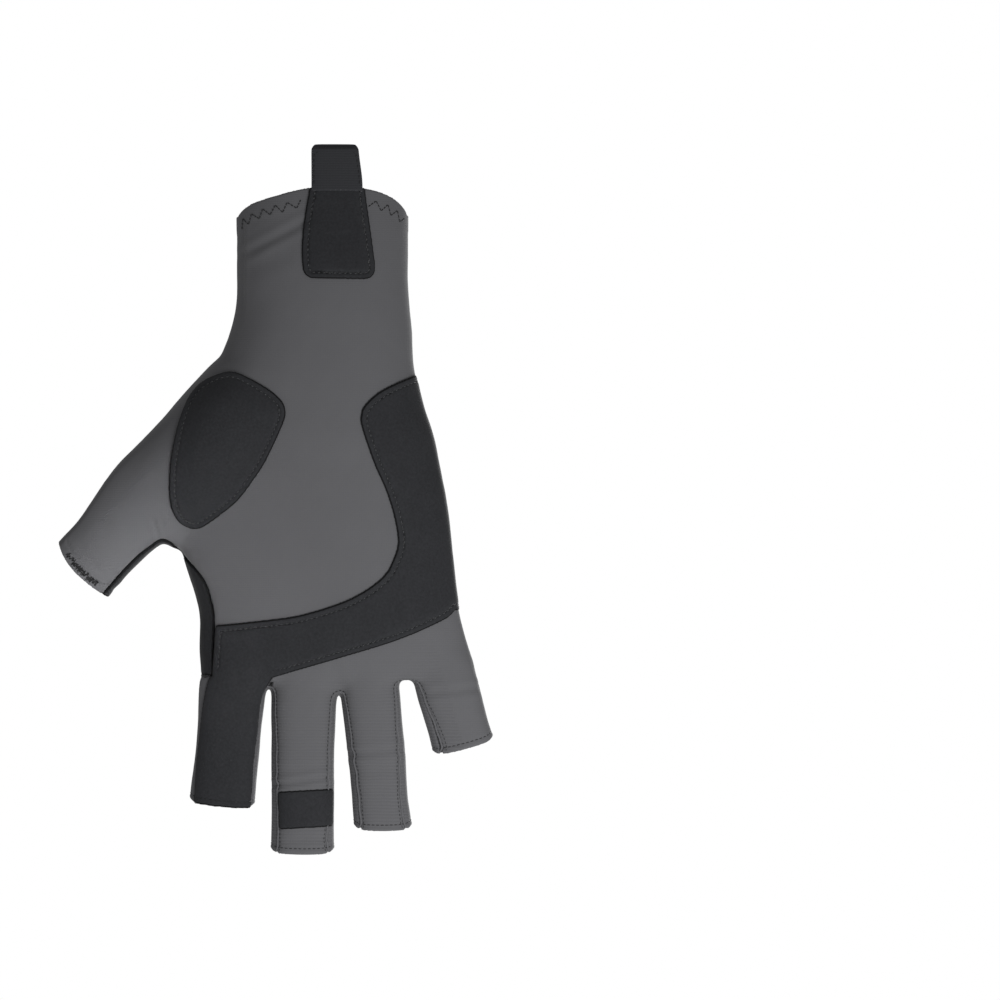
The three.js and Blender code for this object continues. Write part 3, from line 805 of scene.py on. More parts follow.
# Lines on a mesh where the field has a level, as points with the cloth's normals
def isoLines(mesh, field, level, shortest=4.0):
    value = field - level
    value = np.where(value == 0, 1e-6, value)
    (_, a, _, _), (_, _, back), (at, way) = crossings(mesh, value, value > 0)
    links = {}
    for i, k in zip(back[: len(a)].tolist(), back[len(a):].tolist()):
        links.setdefault(i, []).append(k)
        links.setdefault(k, []).append(i)
    left = set(links)
    lines = []
    starts = [i for i in links if len(links[i]) == 1] + list(links)
    for start in starts:
        if start not in left:
            continue
        chain, here = [start], start
        left.discard(start)
        while True:
            onward = [k for k in links[here] if k in left]
            if not onward:
                break
            here = onward[0]
            left.discard(here)
            chain.append(here)
        if len(chain) > 2 and start in links[chain[-1]]:
            chain.append(start)
        line = at[chain]
        if np.linalg.norm(np.diff(line, axis=0), axis=1).sum() > shortest:
            lines.append((line, way[chain]))
    return lines


# The line again at even steps, smoothed along itself
def evenLine(line, step, smoothing=3):
    points, normals = line
    closed = np.allclose(points[0], points[-1])
    for _ in range(smoothing):
        inner = (points[:-2] + 2 * points[1:-1] + points[2:]) / 4
        ends = (points[-2:-1] + 2 * points[:1] + points[1:2]) / 4 if closed else None
        points = np.concatenate([ends if closed else points[:1], inner, ends if closed else points[-1:]])
    length = np.concatenate([[0], np.cumsum(np.linalg.norm(np.diff(points, axis=0), axis=1))])
    steps = max(int(round(length[-1] / step)), 2)
    wanted = np.linspace(0, length[-1], steps + 1)
    points = np.stack([np.interp(wanted, length, points[:, k]) for k in range(3)], 1)
    normals = np.stack([np.interp(wanted, length, normals[:, k]) for k in range(3)], 1)
    return points, normals / np.linalg.norm(normals, axis=1, keepdims=True)


# A circle round each point, in the plane of its side and its normal
def circles(side, normals, corners):
    turn = (np.arange(corners) * 2 * math.pi / corners)[None, :, None]
    return np.cos(turn) * side[:, None] + np.sin(turn) * normals[:, None]


# Faces between rings of points
def wallFaces(rings, corners):
    i = np.arange(corners)
    k = (i + 1) % corners
    a = (np.arange(rings - 1) * corners)[:, None]
    b = a + corners
    walls = [np.stack([a + i, a + k, b + k], -1), np.stack([a + i, b + k, b + i], -1)]
    return np.concatenate(walls).reshape(-1, 3)


# The same with both ends closed
def sweptFaces(rings, corners):
    i, last = np.arange(1, corners - 1), (rings - 1) * corners
    caps = [np.stack([0 * i, i + 1, i], 1), np.stack([0 * i, i, i + 1], 1) + last]
    return np.concatenate([wallFaces(rings, corners), *caps])


# Each ring's place along a stitch, its share of the thickness and its height
stitchRings = table("along size height", [
    (0, 0.45, -0.35), (0.14, 0.9, 0.35), (0.5, 1, 1), (0.86, 0.9, 0.35), (1, 0.45, -0.35),
])
stitchCorners = 6


# Short rounded stitches from starts to ends, dipping into the cloth at both
def stitchMesh(starts, stops, normals, radius, rise):
    step = stops - starts
    side = unit(np.cross(step, normals))
    along, height = (stitchRings[name][None, :, None] for name in ("along", "height"))
    rings = starts[:, None] + along * step[:, None] + height * rise * normals[:, None]
    size = stitchRings["size"][None, :, None, None] * radius
    body = rings[:, :, None] + size * circles(side, normals, stitchCorners)[:, None]
    count, levels = body.shape[:2]
    points = np.concatenate([body.reshape(count, -1, 3), rings[:, [0, -1]]], axis=1)
    i = np.arange(stitchCorners)
    k = (i + 1) % stitchCorners
    tip, last = levels * stitchCorners + 0 * i, (levels - 1) * stitchCorners
    caps = [np.stack([tip, k, i], 1), np.stack([tip + 1, last + i, last + k], 1)]
    one = np.concatenate([wallFaces(levels, stitchCorners), *caps])
    faces = one[None] + (np.arange(count) * (levels * stitchCorners + 2))[:, None, None]
    return points.reshape(-1, 3), faces.reshape(-1, 3)


# A row of stitches along lines on the cloth
def stitchRow(lines, lift, pitch, length, radius, rise):
    starts, stops, ways = [], [], []
    for line in lines:
        points, normals = evenLine(line, pitch)
        raised = points + normals * lift
        gap = (raised[1:] - raised[:-1]) * (1 - length) / 2
        starts.append(raised[:-1] + gap)
        stops.append(raised[1:] - gap)
        ways.append(normals[:-1])
    return stitchMesh(np.concatenate(starts), np.concatenate(stops), np.concatenate(ways), radius, rise)


def together(meshes):
    points, faces, first = [], [], 0
    for p, f in meshes:
        points.append(p)
        faces.append(f + first)
        first += len(p)
    return np.concatenate(points), np.concatenate(faces)


cord = {"step": 0.7, "corners": 8, "taper": 1.2, "tip": 0.3, "bead": 0.12, "beadWave": 2.3}


# A round cord along lines on the cloth, with a slow waver across them
def cordMesh(lines, radius, lift, waver=0.0, wave=9.0):
    meshes = []
    for line in lines:
        points, normals = evenLine(line, cord["step"], 6)
        side = unit(np.cross(unit(np.gradient(points, axis=0)), normals))
        way = np.arange(len(points)) * cord["step"]
        middle = points + normals * lift + side * (waver * np.sin(way * 2 * math.pi / wave))[:, None]
        ends = np.minimum(way, way[-1] - way)
        size = radius * (cord["tip"] + (1 - cord["tip"]) * ramp(ends, 0, cord["taper"]))
        size = size * (1 + cord["bead"] * np.sin(way * 2 * math.pi / cord["beadWave"]))
        rings = middle[:, None] + size[:, None, None] * circles(side, normals, cord["corners"])
        meshes.append((rings.reshape(-1, 3), sweptFaces(len(points), cord["corners"])))
    return together(meshes)


print("materials")


class Nodes:
    def __init__(self, tree):
        self.tree = tree

    def add(self, kind, inputs=None, **settings):
        node = self.tree.nodes.new(kind)
        for name, value in settings.items():
            setattr(node, name, value)
        for name, value in (inputs or {}).items():
            socket = node.inputs[name]
            if isinstance(value, bpy.types.NodeSocket):
                self.tree.links.new(value, socket)
            else:
                socket.default_value = value
        return node

    def math(self, how, a, b=0.5, clamp=False):
        return self.add("ShaderNodeMath", {0: a, 1: b}, operation=how, use_clamp=clamp).outputs[0]

    # Each value times its weight, added up
    def total(self, *parts, clamp=False):
        value = self.math("MULTIPLY", *parts[0])
        for k, part in enumerate(parts[1:], 2):
            value = self.math("ADD", value, self.math("MULTIPLY", *part), clamp and k == len(parts))
        return value

    # A colour between a darker and a paler shade of the same one
    def shades(self, amount, colour, dark, pale):
        first, second = ((*(c * share for c in colour), 1.0) for share in (dark, pale))
        return self.add("ShaderNodeMix", {0: amount, 6: first, 7: second}, data_type="RGBA").outputs[2]

    # Bands across an axis, each as wide as the length in millimetres
    def wave(self, place, length, axis, distortion, detail=2.0, detailScale=1.0):
        return self.add("ShaderNodeTexWave", {
            "Vector": place, "Scale": waveScale / length, "Distortion": distortion, "Detail": detail,
            "Detail Scale": detailScale,
        }, wave_type="BANDS", bands_direction=axis, wave_profile="SIN").outputs["Fac"]

    def noise(self, place, scale, detail, roughness=0.5, distortion=0.0):
        return self.add("ShaderNodeTexNoise", {
            "Vector": place, "Scale": scale, "Detail": detail, "Roughness": roughness,
            "Distortion": distortion,
        }).outputs["Fac"]

    # Above zero on the outer edges of a form
    def edge(self, strength):
        worn = self.add("ShaderNodeNewGeometry").outputs["Pointiness"]
        return self.math("MULTIPLY", self.math("SUBTRACT", worn, 0.5), strength, clamp=True)


waveScale = 0.314  # gives bands one unit wide


def newMaterial(name, turn=0.0):
    material = bpy.data.materials.new(name)
    material.use_nodes = True
    material.node_tree.nodes.clear()
    n = Nodes(material.node_tree)
    place = n.add("ShaderNodeTexCoord").outputs["Object"]
    inMm = {"Vector": place, "Scale": (1 / mm, 1 / mm, 1 / mm), "Rotation": (0, turn, 0)}
    return material, n, n.add("ShaderNodeMapping", inMm).outputs[0]


def finishMaterial(n, colour, roughness, height, sheen, distance, specular):
    bump = n.add("ShaderNodeBump", {"Strength": 0.9, "Distance": distance * mm, "Height": height})
    shader = n.add("ShaderNodeBsdfPrincipled", {
        "Base Color": colour, "Roughness": roughness, "Sheen Weight": sheen, "Sheen Roughness": 0.45,
        "Specular IOR Level": specular, "Normal": bump.outputs[0],
    })
    n.add("ShaderNodeOutputMaterial", {"Surface": shader.outputs[0]})


knitLook = {"colour": (0.122, 0.122, 0.129), "rib": 0.82, "wale": 0.66, "pucker": 1.2}


# Rows of stitches across the hand, with columns of small loops along it
def knitMaterial(name, look):
    material, n, place = newMaterial(name)
    ribs = n.wave(place, look["rib"], "Z", 0.8, 1.0, 1.5)
    wales = n.wave(place, look["wale"], "X", 1.2, 1.0, 1.2)
    near = n.add("ShaderNodeAttribute", attribute_name="seamNear").outputs["Fac"]
    pucker = n.math("MULTIPLY", n.wave(place, look["pucker"], "Z", 2.2, 1.5, 0.6), near)
    cloud, speck = n.noise(place, 0.05, 4.0, 0.55), n.noise(place, 1.9, 2.0, 0.6)
    weave = n.math("MULTIPLY", ribs, wales)
    # The pucker bands near the strip seams lower the tone as well as the height: painted shade in the small
    # folds
    parts = ((cloud, 0.14), (speck, 0.16), (weave, 0.08), (pucker, -0.26), (n.edge(1.6), 0.4))
    tone = n.total(*parts, clamp=True)
    height = n.total((ribs, 0.2), (wales, 0.14), (speck, 0.3), (pucker, 1.0))
    rough = n.math("ADD", n.math("MULTIPLY", speck, 0.1), 0.84)
    finishMaterial(n, n.shades(tone, look["colour"], 0.86, 1.42), rough, height, 0.16, 0.12, 0.16)
    return material


suedeLook = {"colour": (0.0222, 0.0229, 0.0256), "nap": 3.2}


def suedeMaterial(name, look, factor=1.0, sheen=0.1):
    material, n, place = newMaterial(name)
    nap, brushed = n.noise(place, look["nap"], 3.0, 0.7), n.noise(place, 0.07, 5.0, 0.6, 0.5)
    mottle = n.math("SUBTRACT", n.noise(place, 1.1, 2.0, 0.6), 0.5)
    grain = n.add("ShaderNodeTexVoronoi", {"Vector": place, "Scale": 1.3}).outputs["Distance"]
    tone = n.total((nap, 0.3), (brushed, 0.35), (mottle, 0.9), (n.edge(2.2), 1.0), clamp=True)
    height = n.total((nap, 0.5), (grain, 0.4))
    rough = n.math("ADD", n.math("MULTIPLY", nap, 0.15), 0.75)
    colour = n.shades(tone, look["colour"], 0.72 * factor, 1.6 * factor)
    finishMaterial(n, colour, rough, height, sheen, 0.1, 0.2)
    return material


webbingLook = {"colour": (0.0335, 0.0345, 0.039), "rib": 0.9, "strand": 0.55}


def webbingMaterial(name, look):
    material, n, place = newMaterial(name)
    weave = n.math("MULTIPLY", n.wave(place, look["rib"], "Z", 0.5), n.wave(place, look["strand"], "X", 0.3))
    speck = n.noise(place, 2.4, 3.0)
    tone = n.total((weave, 0.2), (speck, 0.4), clamp=True)
    height = n.total((weave, 0.45), (speck, 0.4))
    finishMaterial(n, n.shades(tone, look["colour"], 0.75, 1.45), 0.78, height, 0.12, 0.14, 0.25)
    return material


def threadMaterial(name, colour):
    material, n, place = newMaterial(name, 0.7)
    twist = n.wave(place, waveScale / 1.1, "DIAGONAL", 0.4)
    tone = n.total((twist, 0.4), (n.noise(place, 0.9, 2.0), 0.5), clamp=True)
    finishMaterial(n, n.shades(tone, colour, 0.6, 1.5), 0.5, twist, 0.05, 0.06, 0.4)
    return material


def printMaterial(name, colour):
    material, n, place = newMaterial(name)
    speck, rows = n.noise(place, 1.4, 3.0), n.wave(place, knitLook["rib"], "Z", 0.8)
    finishMaterial(n, n.shades(speck, colour, 0.85, 1.12), 0.55, rows, 0.0, 0.05, 0.4)
    return material


knit = knitMaterial("grey_knit", knitLook)
# The inside faces get the same knit at under half its colour: painted shade for the inside of the glove
knitInsideShaded = knitMaterial("grey_knit_inside_painted_shade", {**knitLook, "colour": (0.05, 0.05, 0.054)})
suede = suedeMaterial("black_suede", suedeLook)
# The rim copy of the suede at about a fifth of its colour is painted shade: the dark line where each patch
# and the gusset meet the knit, over the cut edge's own darker colour
suedeEdgeShade = suedeMaterial("black_suede_cut_edge_painted_shade", suedeLook, 0.22, 0.02)
# The gusset is black cloth, darkened a further quarter as painted shade for the thumb's side turned from the
# light
gussetSuedeShaded = suedeMaterial("black_gusset_cloth_painted_shade", suedeLook, 0.75)
tape = webbingMaterial("black_tape", webbingLook)
darkThread = threadMaterial("dark_thread", (0.011, 0.011, 0.012))
greyThread = threadMaterial("grey_thread", (0.075, 0.075, 0.08))
patchThread = threadMaterial("patch_thread", (0.037, 0.038, 0.041))
limePrint = printMaterial("lime_print", (0.52, 0.63, 0.02))

clothSizes = {"thick": 1.2, "seam": 0.66, "pucker": 2.4}


# Cloth whose outer face is the skin, puckered near the strips' seams, with painted shade in the puckers
def clothPiece(name, mesh, materials, replaces):
    made, faces, kinds = shell(mesh, -clothSizes["thick"], clothSizes["thick"])
    near = np.clip(np.exp(-stripDistance(made) / clothSizes["pucker"]) * 1.2, 0, 1)
    piece = makeObject(name, made, faces, materials, kinds, {"seamNear": near})
    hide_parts(replaces)
    return piece


# One half of the skin without what the strips and the gusset cover
def panelMesh(half, way, outline):
    seam = clothSizes["seam"]
    mesh = clip(half, seam - way * half[0][:, 1])
    for web in webs.values():
        strip = stripHalf + seam - np.abs(mesh[0][:, 1])
        mesh = clip(mesh, np.where(betweenFingers(mesh[0], web), strip, -10))
    return clip(mesh, seam - outlineDistance(flatOf(mesh[0]), outline))


print("panels")
knitSlots = [knit, knit, knitInsideShaded]
palmMesh, backMesh = panelMesh(palmHalf, -1, gussetPalm), panelMesh(backHalf, 1, gussetBack)
palmPanel = clothPiece("knit_palm_panel", palmMesh, knitSlots, "palm_panel")
backPanel = clothPiece("knit_back_panel", backMesh, knitSlots, "back_panel")

strips, stripMeshes = {}, {}
for name, web in webs.items():
    stripMeshes[name] = clip(openSkin, stripField(openSkin[0], web) + clothSizes["seam"])
    strips[name] = clothPiece("knit_side_strip_" + name, stripMeshes[name], knitSlots, "side_strip_" + name)

gussetMesh = joined(*(
    clip(half, outlineDistance(flatOf(half[0]), outline) + clothSizes["seam"])
    for half, outline in ((palmHalf, gussetPalm), (backHalf, gussetBack))
))
gussetSlots = [gussetSuedeShaded, suedeEdgeShade, knitInsideShaded]
gussetPiece = clothPiece("suede_thumb_gusset", gussetMesh, gussetSlots, "thumb_gusset")

# The cloth turned in behind every seam, in the inner knit with its painted shade
allowance = {"half": 2.2, "lift": -1.95, "thick": 0.65}
turnedIn = clip(plainSkin, np.minimum.reduce(seamDistance(plainSkin[0])) - allowance["half"])
turnedPoints, turnedFaces, _ = shell(turnedIn, allowance["lift"], allowance["thick"])
makeObject("knit_seam_allowance", turnedPoints, turnedFaces, [knitInsideShaded])

# Sewn patches lie on the knit, with a groove under their stitches; their rims are painted near black, partly
# the cut edge's own dark colour and partly painted shade for the shadow line along each edge
patchSizes = {
    "lift": 0.12, "thick": 1.05, "reach": 0.62, "inset": 2.1, "groove": 0.46, "grooveWidth": 0.62,
    "front": 0.8, "edgeDip": 0.22, "edgeWidth": 0.5, "bulgeRun": 9, "sideThin": 0.6, "sideRun": (-7, -1.5),
}
patchLevel = patchSizes["lift"] + patchSizes["thick"]


def patchPiece(name, outline, replaces, thick=patchSizes["thick"], bulge=0.0, relief=None,
               front=patchSizes["front"], sewn=None):
    bare = clip(palmHalf, outlineDistance(flatOf(palmHalf[0]), outline) + patchSizes["reach"])
    bare = clip(bare, bare[0][:, 1] + front)
    points, normals, faces = bare
    inner = outlineDistance(flatOf(points), outline)
    rise = bulge * ramp(-inner, patchSizes["inset"], patchSizes["inset"] + patchSizes["bulgeRun"])
    if sewn is not None:
        groove = bell(inner + patchSizes["inset"], patchSizes["grooveWidth"])
        rise -= sewn(points) * patchSizes["groove"] * groove
    rise -= patchSizes["edgeDip"] * bell(inner + patchSizes["reach"], patchSizes["edgeWidth"])
    rise -= patchSizes["sideThin"] * ramp(points[:, 1], *patchSizes["sideRun"])  # thinner at the side seam
    if relief is not None:
        rise += relief(points)
    points = points + normals * rise[:, None]
    mesh = (points, normalsOf(points, faces), faces)
    made, faces, kinds = shell(mesh, patchSizes["lift"], thick, patchSizes["reach"])
    made[len(points): 2 * len(points)] = bare[0] + bare[1] * patchSizes["lift"]
    piece = makeObject(name, made, faces, [suede, suedeEdgeShade, suede], kinds)
    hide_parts(replaces)
    return piece, mesh, inner


def offFinger(points):
    return points[:, 2] > rootsZ + 6


def everywhere(points):
    return np.ones(len(points), bool)


# Three short plain ribs pressed across the tab
tabRib = {"deep": 0.28, "width": 0.55, "top": -9.0, "step": 2.2, "halves": (3.6, 2.6, 1.6)}


def tabRibs(points):
    flat = flatOf(points)
    total = np.zeros(len(points))
    for k, half in enumerate(tabRib["halves"]):
        a = np.array([tab["middle"] - half, tabRib["top"] - tabRib["step"] * k])
        away = lineDistance(flat, np.array([a, a + [2 * half, 0.0]]))
        total -= tabRib["deep"] * bell(away, tabRib["width"])
    return total


print("patches")
thumbPad = {"thick": 1.25, "bulge": 0.85}
palmPatch, palmPatchMesh, palmPatchInset = patchPiece(
    "suede_palm_patch", palmPatchOutline, "palm_patch", sewn=offFinger)
thumbPatch, thumbPatchMesh, thumbPatchInset = patchPiece(
    "suede_thumb_patch", thumbPatchOutline, "thumb_patch", sewn=everywhere, **thumbPad)
fingerBand, bandMesh, _ = patchPiece(
    "suede_finger_band", bandOutline, "middle_finger_band", thick=0.6, front=4.2)
tabPiece, tabMesh, tabInset = patchPiece(
    "suede_cuff_tab", tabOutline, "cuff_tab", relief=tabRibs, sewn=everywhere)

print("pull loop")
loop = {
    "middle": 5.6, "lean": 0.75, "width": 17.4, "footWidth": 18.8, "top": 25.0, "thick": 1.05,
    "off": 0.95, "tuck": 9.5, "fold": 1.5, "lap": 1.6, "sag": 0.25, "sagEnd": 9, "round": 2.6,
    "roundIn": 1.7, "corners": 52,
}


# The tape's half width and its middle at a height
def loopAt(z):
    up = ramp(z, cuff["palmRise"], loop["top"])
    half = (loop["footWidth"] + (loop["width"] - loop["footWidth"]) * up) / 2
    return half, loop["middle"] - loop["lean"] * up


# How far forward the cuff's palm side stands at a place across it
def cuffForward(x):
    share = np.clip(np.abs(x) / (cuff["width"] / 2), 0, 1)
    return cuff["depth"] / 2 * (1 - share ** cuff["square"]) ** (1 / cuff["square"])


# The tape's middle line: up outside from under the tab's edge, over the fold and down inside the cuff
def loopPath():
    low, top = cuff["palmRise"] - loop["lap"], loop["top"] - loop["fold"] - loop["thick"] / 2
    centre = loop["off"] - loop["fold"]
    path = [(loop["off"], z) for z in np.linspace(low, top, 24)]
    for t in np.linspace(0, math.pi, 14)[1:-1]:
        path.append((centre + loop["fold"] * math.cos(t), top + loop["fold"] * math.sin(t)))
    for z in np.linspace(top, cuff["palmRise"] - loop["tuck"], 34):
        down = min(max((top - z) / (top - loop["sagEnd"]), 0), 1)
        path.append((centre - loop["fold"] - loop["sag"] * math.sin(math.pi * down), z))
    return np.array(path)


def loopMesh():
    path = loopPath()
    turn = np.arange(loop["corners"]) * 2 * math.pi / loop["corners"]
    cos, sin = np.cos(turn), np.sin(turn)
    across = np.copysign(np.abs(cos) ** 0.28, cos)
    out = np.copysign(np.abs(sin) ** 0.6, sin) * loop["thick"] / 2
    rings = []
    for (off, z), (stepOff, stepZ) in zip(path, unit(np.gradient(path, axis=0))):
        half, middle = loopAt(z)
        high = max(z - (loop["top"] - loop["round"]), 0) / loop["round"]
        x = middle + across * (half - loop["roundIn"] * high**2.4)
        rings.append(np.stack([x, -cuffForward(x) - off - out * stepZ, z + out * stepOff], 1))
    return np.concatenate(rings), sweptFaces(len(path), loop["corners"])[:, ::-1]


loopPiece = makeObject("webbing_pull_loop", *loopMesh(), [tape])
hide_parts("pull_loop")

print("threads")
stitches = named("pitch length radius rise", {
    "patch": (1.9, 0.58, 0.27, 0.2),
    "tabTop": (1.9, 0.62, 0.24, 0.16),
    "loop": (1.9, 0.6, 0.16, 0.12),
    "hem": (1.7, 0.7, 0.14, 0.1),
    "patchHem": (1.7, 0.7, 0.16, 0.1),
    "strip": (1.5, 0.6, 0.13, 0.08),
})


def threadPiece(name, mesh, material):
    return makeObject(name, *mesh, [material])


# The runs of lines where a test holds
def cutLines(lines, where):
    parts = []
    for points, normals in lines:
        start = None
        for i, ok in enumerate([*where(points), False]):
            if ok and start is None:
                start = i
            elif not ok and start is not None:
                if i - start > 4:
                    parts.append((points[start:i], normals[start:i]))
                start = None
    return parts


def patchStitches(name, mesh, inset, where=None, level=patchLevel):
    lines = isoLines(mesh, inset, -patchSizes["inset"])
    lines = cutLines(lines, where) if where else lines
    threadPiece(name, stitchRow(lines, level, **stitches["patch"]), patchThread)


patchStitches("thread_palm_patch", palmPatchMesh, palmPatchInset, offFinger)
thumbLevel = patchSizes["lift"] + thumbPad["thick"]
patchStitches("thread_thumb_patch", thumbPatchMesh, thumbPatchInset, level=thumbLevel)
patchStitches("thread_cuff_tab", tabMesh, tabInset, lambda p: p[:, 2] < cuff["palmRise"] - 1.4)
tabTop = cutLines(
    isoLines(tabMesh, rimField(tabMesh[0], False), -tab["hem"]),
    lambda p: (p[:, 0] > tab["left"]) & (p[:, 0] < tab["right"]))
threadPiece("thread_tab_top", stitchRow(tabTop, patchLevel, **stitches["tabTop"]), greyThread)
loopInset = {"side": 1.0, "top": 2.0, "foot": 0.6}


# Stitches near the edges of the pull loop's outer side
def loopStitches():
    up = np.linspace(cuff["palmRise"] + loopInset["foot"], loop["top"] - loopInset["top"], 20)
    half, middle = loopAt(up)
    left, right = (np.stack([middle + way * (half - loopInset["side"]), up], 1) for way in (-1, 1))
    flat = np.concatenate([left, right[::-1]])
    points = atDepth(flat, -cuffForward(flat[:, 0]) - loop["off"] - loop["thick"] / 2)
    forward = np.tile([0.0, -1.0, 0.0], (len(points), 1))
    return stitchRow([(points, forward)], 0.0, **stitches["loop"])


threadPiece("thread_pull_loop", loopStitches(), darkThread)


def hemStitches():
    meshes = []
    for finger in fingers.values():
        for half in (palmHalf, backHalf):
            lines = isoLines(half, fingerEnd(half[0], finger), -hems["finger"])
            meshes.append(stitchRow(lines, 0.02, **stitches["hem"]))
    lines = isoLines(palmPatchMesh, fingerEnd(palmPatchMesh[0], index), -hems["finger"])
    meshes.append(stitchRow(lines, patchLevel, **stitches["patchHem"]))
    return together(meshes)


threadPiece("thread_finger_hems", hemStitches(), darkThread)


# Lines on a panel beside the strips between the fingers
def stripLines(half, away):
    fields = [stripField(half[0], web) for web in webs.values()]
    return [line for field in fields for line in isoLines(half, field, away, shortest=12)]


stripRows = [stitchRow(stripLines(half, 1.1), 0.01, **stitches["strip"]) for half in (palmHalf, backHalf)]
threadPiece("thread_strip_seams", together(stripRows), darkThread)


# The skin's spots nearest to two points, with its mean normal there
def onSkin(first, last):
    (a, aWay), (b, bWay) = (skinTree.find_nearest(Vector(p))[:2] for p in (first, last))
    return np.array(a), np.array(b), np.array(aWay + bWay) / 2


# Zigzag stitches along lines: they swing to either side of each line, more or less unevenly
def zigzag(lines, period, swing, parts, radius, gap, uneven, turn=0):
    rng = np.random.default_rng(seed + turn)
    found = []
    for line in lines:
        points, normals = evenLine(line, period / 2, 6)
        step = unit(np.gradient(points, axis=0))
        side = np.cross(step, normals)
        sign = np.where(np.arange(len(points)) % 2 == 0, 1.0, -1.0)[:, None]
        reach = swing / 2 * (1 + uneven * rng.uniform(-1, 0.3, sign.shape))
        corners = points + side * sign * reach + step * period * 0.3 * uneven * rng.uniform(-1, 1, sign.shape)
        for a, b in zip(corners[:-1], corners[1:]):
            for i in range(parts):
                found.append(onSkin(*(a + (b - a) * (i + t) / parts for t in (gap / 2, 1 - gap / 2))))
    starts, stops, ways = (np.array(column) for column in zip(*found))
    ways = unit(ways)
    return stitchMesh(starts + ways * 0.06, stops + ways * 0.06, ways, radius, 0.14)


cuffZigzag = {"period": 5.2, "swing": 3.3, "parts": 3, "radius": 0.19, "gap": 0.22, "uneven": 0.25}
cuffSeam = {"below": 5.3, "halfWidth": 30.2}


def onCuffFace(points):
    offTab = (points[:, 1] > 0) | (outlineDistance(flatOf(points), tabOutline) > 1.0)
    return (np.abs(points[:, 0]) < cuffSeam["halfWidth"]) & offTab


cuffLines = []
for half, back in ((palmHalf, False), (backHalf, True)):
    cuffLines += cutLines(isoLines(half, rimField(half[0], back), -cuffSeam["below"]), onCuffFace)
threadPiece("thread_cuff_zigzag", zigzag(cuffLines, **cuffZigzag), darkThread)

# The thumb's hem is tacked down by uneven zigzags in its middle, closer together towards the gusset
thumbZigzag = {"period": 1.15, "swing": 2.5, "parts": 1, "radius": 0.2, "gap": 0.08, "uneven": 0.8}
thumbTack = {"middle": -2.0, "from": -8.4, "to": 7.2, "denseFrom": 3.2, "denseRun": 8}


def thumbHemLines(half, start):
    def within(points):
        across = (flatOf(points) - thumbRoot) @ thumbSide
        return (across > start) & (across < thumbTack["to"])

    return cutLines(isoLines(half, thumbEnd(half[0]), thumbTack["middle"]), within)


thumbHem = [thumbHemLines(half, thumbTack["from"]) for half in (palmHalf, backHalf)]
thumbHem += [thumbHemLines(palmHalf, thumbTack["denseFrom"] - run) for run in (thumbTack["denseRun"], 0)]
thumbScribble = [zigzag(lines, turn=k, **thumbZigzag) for k, lines in enumerate(thumbHem)]
threadPiece("thread_thumb_hem", together(thumbScribble), darkThread)

# A few stitches over each other where a seam ends
tacks = named("at way length count spread radius", {
    "index_middle": ((-18.3, -8, -173.5), (0.35, 0, 1), 2.2, 5, 0.35, 0.4),
    "gusset": ((-42.4, -7, -171.3), (1, 0, 0.12), 3.0, 6, 0.22, 0.36),
})
tackPile = 0.2


def tackStitches(tack):
    rng = np.random.default_rng(seed)
    half = np.array(tack["way"]) * tack["length"] / 2
    starts, stops, ways = [], [], []
    for k in range(tack["count"]):
        middle = np.array(tack["at"]) + rng.normal(size=3) * tack["spread"]
        first, last, way = onSkin(middle - half, middle + half)
        starts.append(first + way * tackPile * k)
        stops.append(last + way * tackPile * k)
        ways.append(way)
    return stitchMesh(np.array(starts), np.array(stops), unit(np.array(ways)), tack["radius"], 0.2)


threadPiece("thread_seam_tacks", together([tackStitches(tack) for tack in tacks.values()]), darkThread)

# A cord of thread lies in the seam where the gusset ends
footCord = {"radius": 0.62, "lift": -0.42, "from": -41.5}
footLines = cutLines(
    isoLines(openSkin, openSkin[0][:, 2] - gussetFoot[0][1], 0.0), lambda p: p[:, 0] < footCord["from"])
threadPiece("thread_gusset_foot", cordMesh(footLines, footCord["radius"], footCord["lift"]), darkThread)

# A rolled edge of knit stands along the palm side of the strips between the fingers
piping = {"radius": 0.42, "lift": 0.02, "waver": 0.12, "wave": 8.0}
makeObject("knit_seam_piping", *cordMesh(stripLines(palmHalf, 0.25), **piping), [knit])

print("prints")
printSizes = {"lift": 0.03, "thick": 0.12, "reach": 0.04, "fine": 1.6}
handBar = {"count": 9, "first": (26.5, -47), "run": (9.5, -92), "size": (7.4, 5.2), "turn": 5, "lean": 0.9}
indexBar = {"count": 6, "below": 6, "pitch": 5.6, "across": -5.4, "size": (4.6, 2.8), "turn": -5, "lean": 0.5}


# Slanted bars in a row on the back of the hand
def printPiece(name, bars):
    meshes = []
    for outline in bars:
        fine = refined(backHalf, outlineDistance(flatOf(backHalf[0]), outline) < printSizes["fine"])
        fine = clip(fine, outlineDistance(flatOf(fine[0]), outline), 0.05)
        meshes.append(shell(fine, printSizes["lift"], printSizes["thick"], printSizes["reach"], 3)[:2])
    return makeObject(name, *together(meshes), [limePrint])


def slantedBar(middle, bar):
    turn, lean = math.radians(bar["turn"]), bar["lean"]
    c, s = math.cos(turn), math.sin(turn)
    half, tall = (size / 2 for size in bar["size"])
    corners = [(-half - lean, -tall), (half - lean, -tall), (half + lean, tall), (-half + lean, tall)]
    return np.array([(middle[0] + c * x - s * z, middle[1] + s * x + c * z) for x, z in corners])


shares = np.linspace(0, 1, handBar["count"])
handBars = [slantedBar(np.array(handBar["first"]) + t * np.array(handBar["run"]), handBar) for t in shares]
indexBars = [
    slantedBar(fingerPoint(index, indexBar["below"] + indexBar["pitch"] * k, indexBar["across"]), indexBar)
    for k in range(indexBar["count"])
]
printPiece("print_hand_bars", handBars)
printPiece("print_index_bars", indexBars)

print("soft pieces")


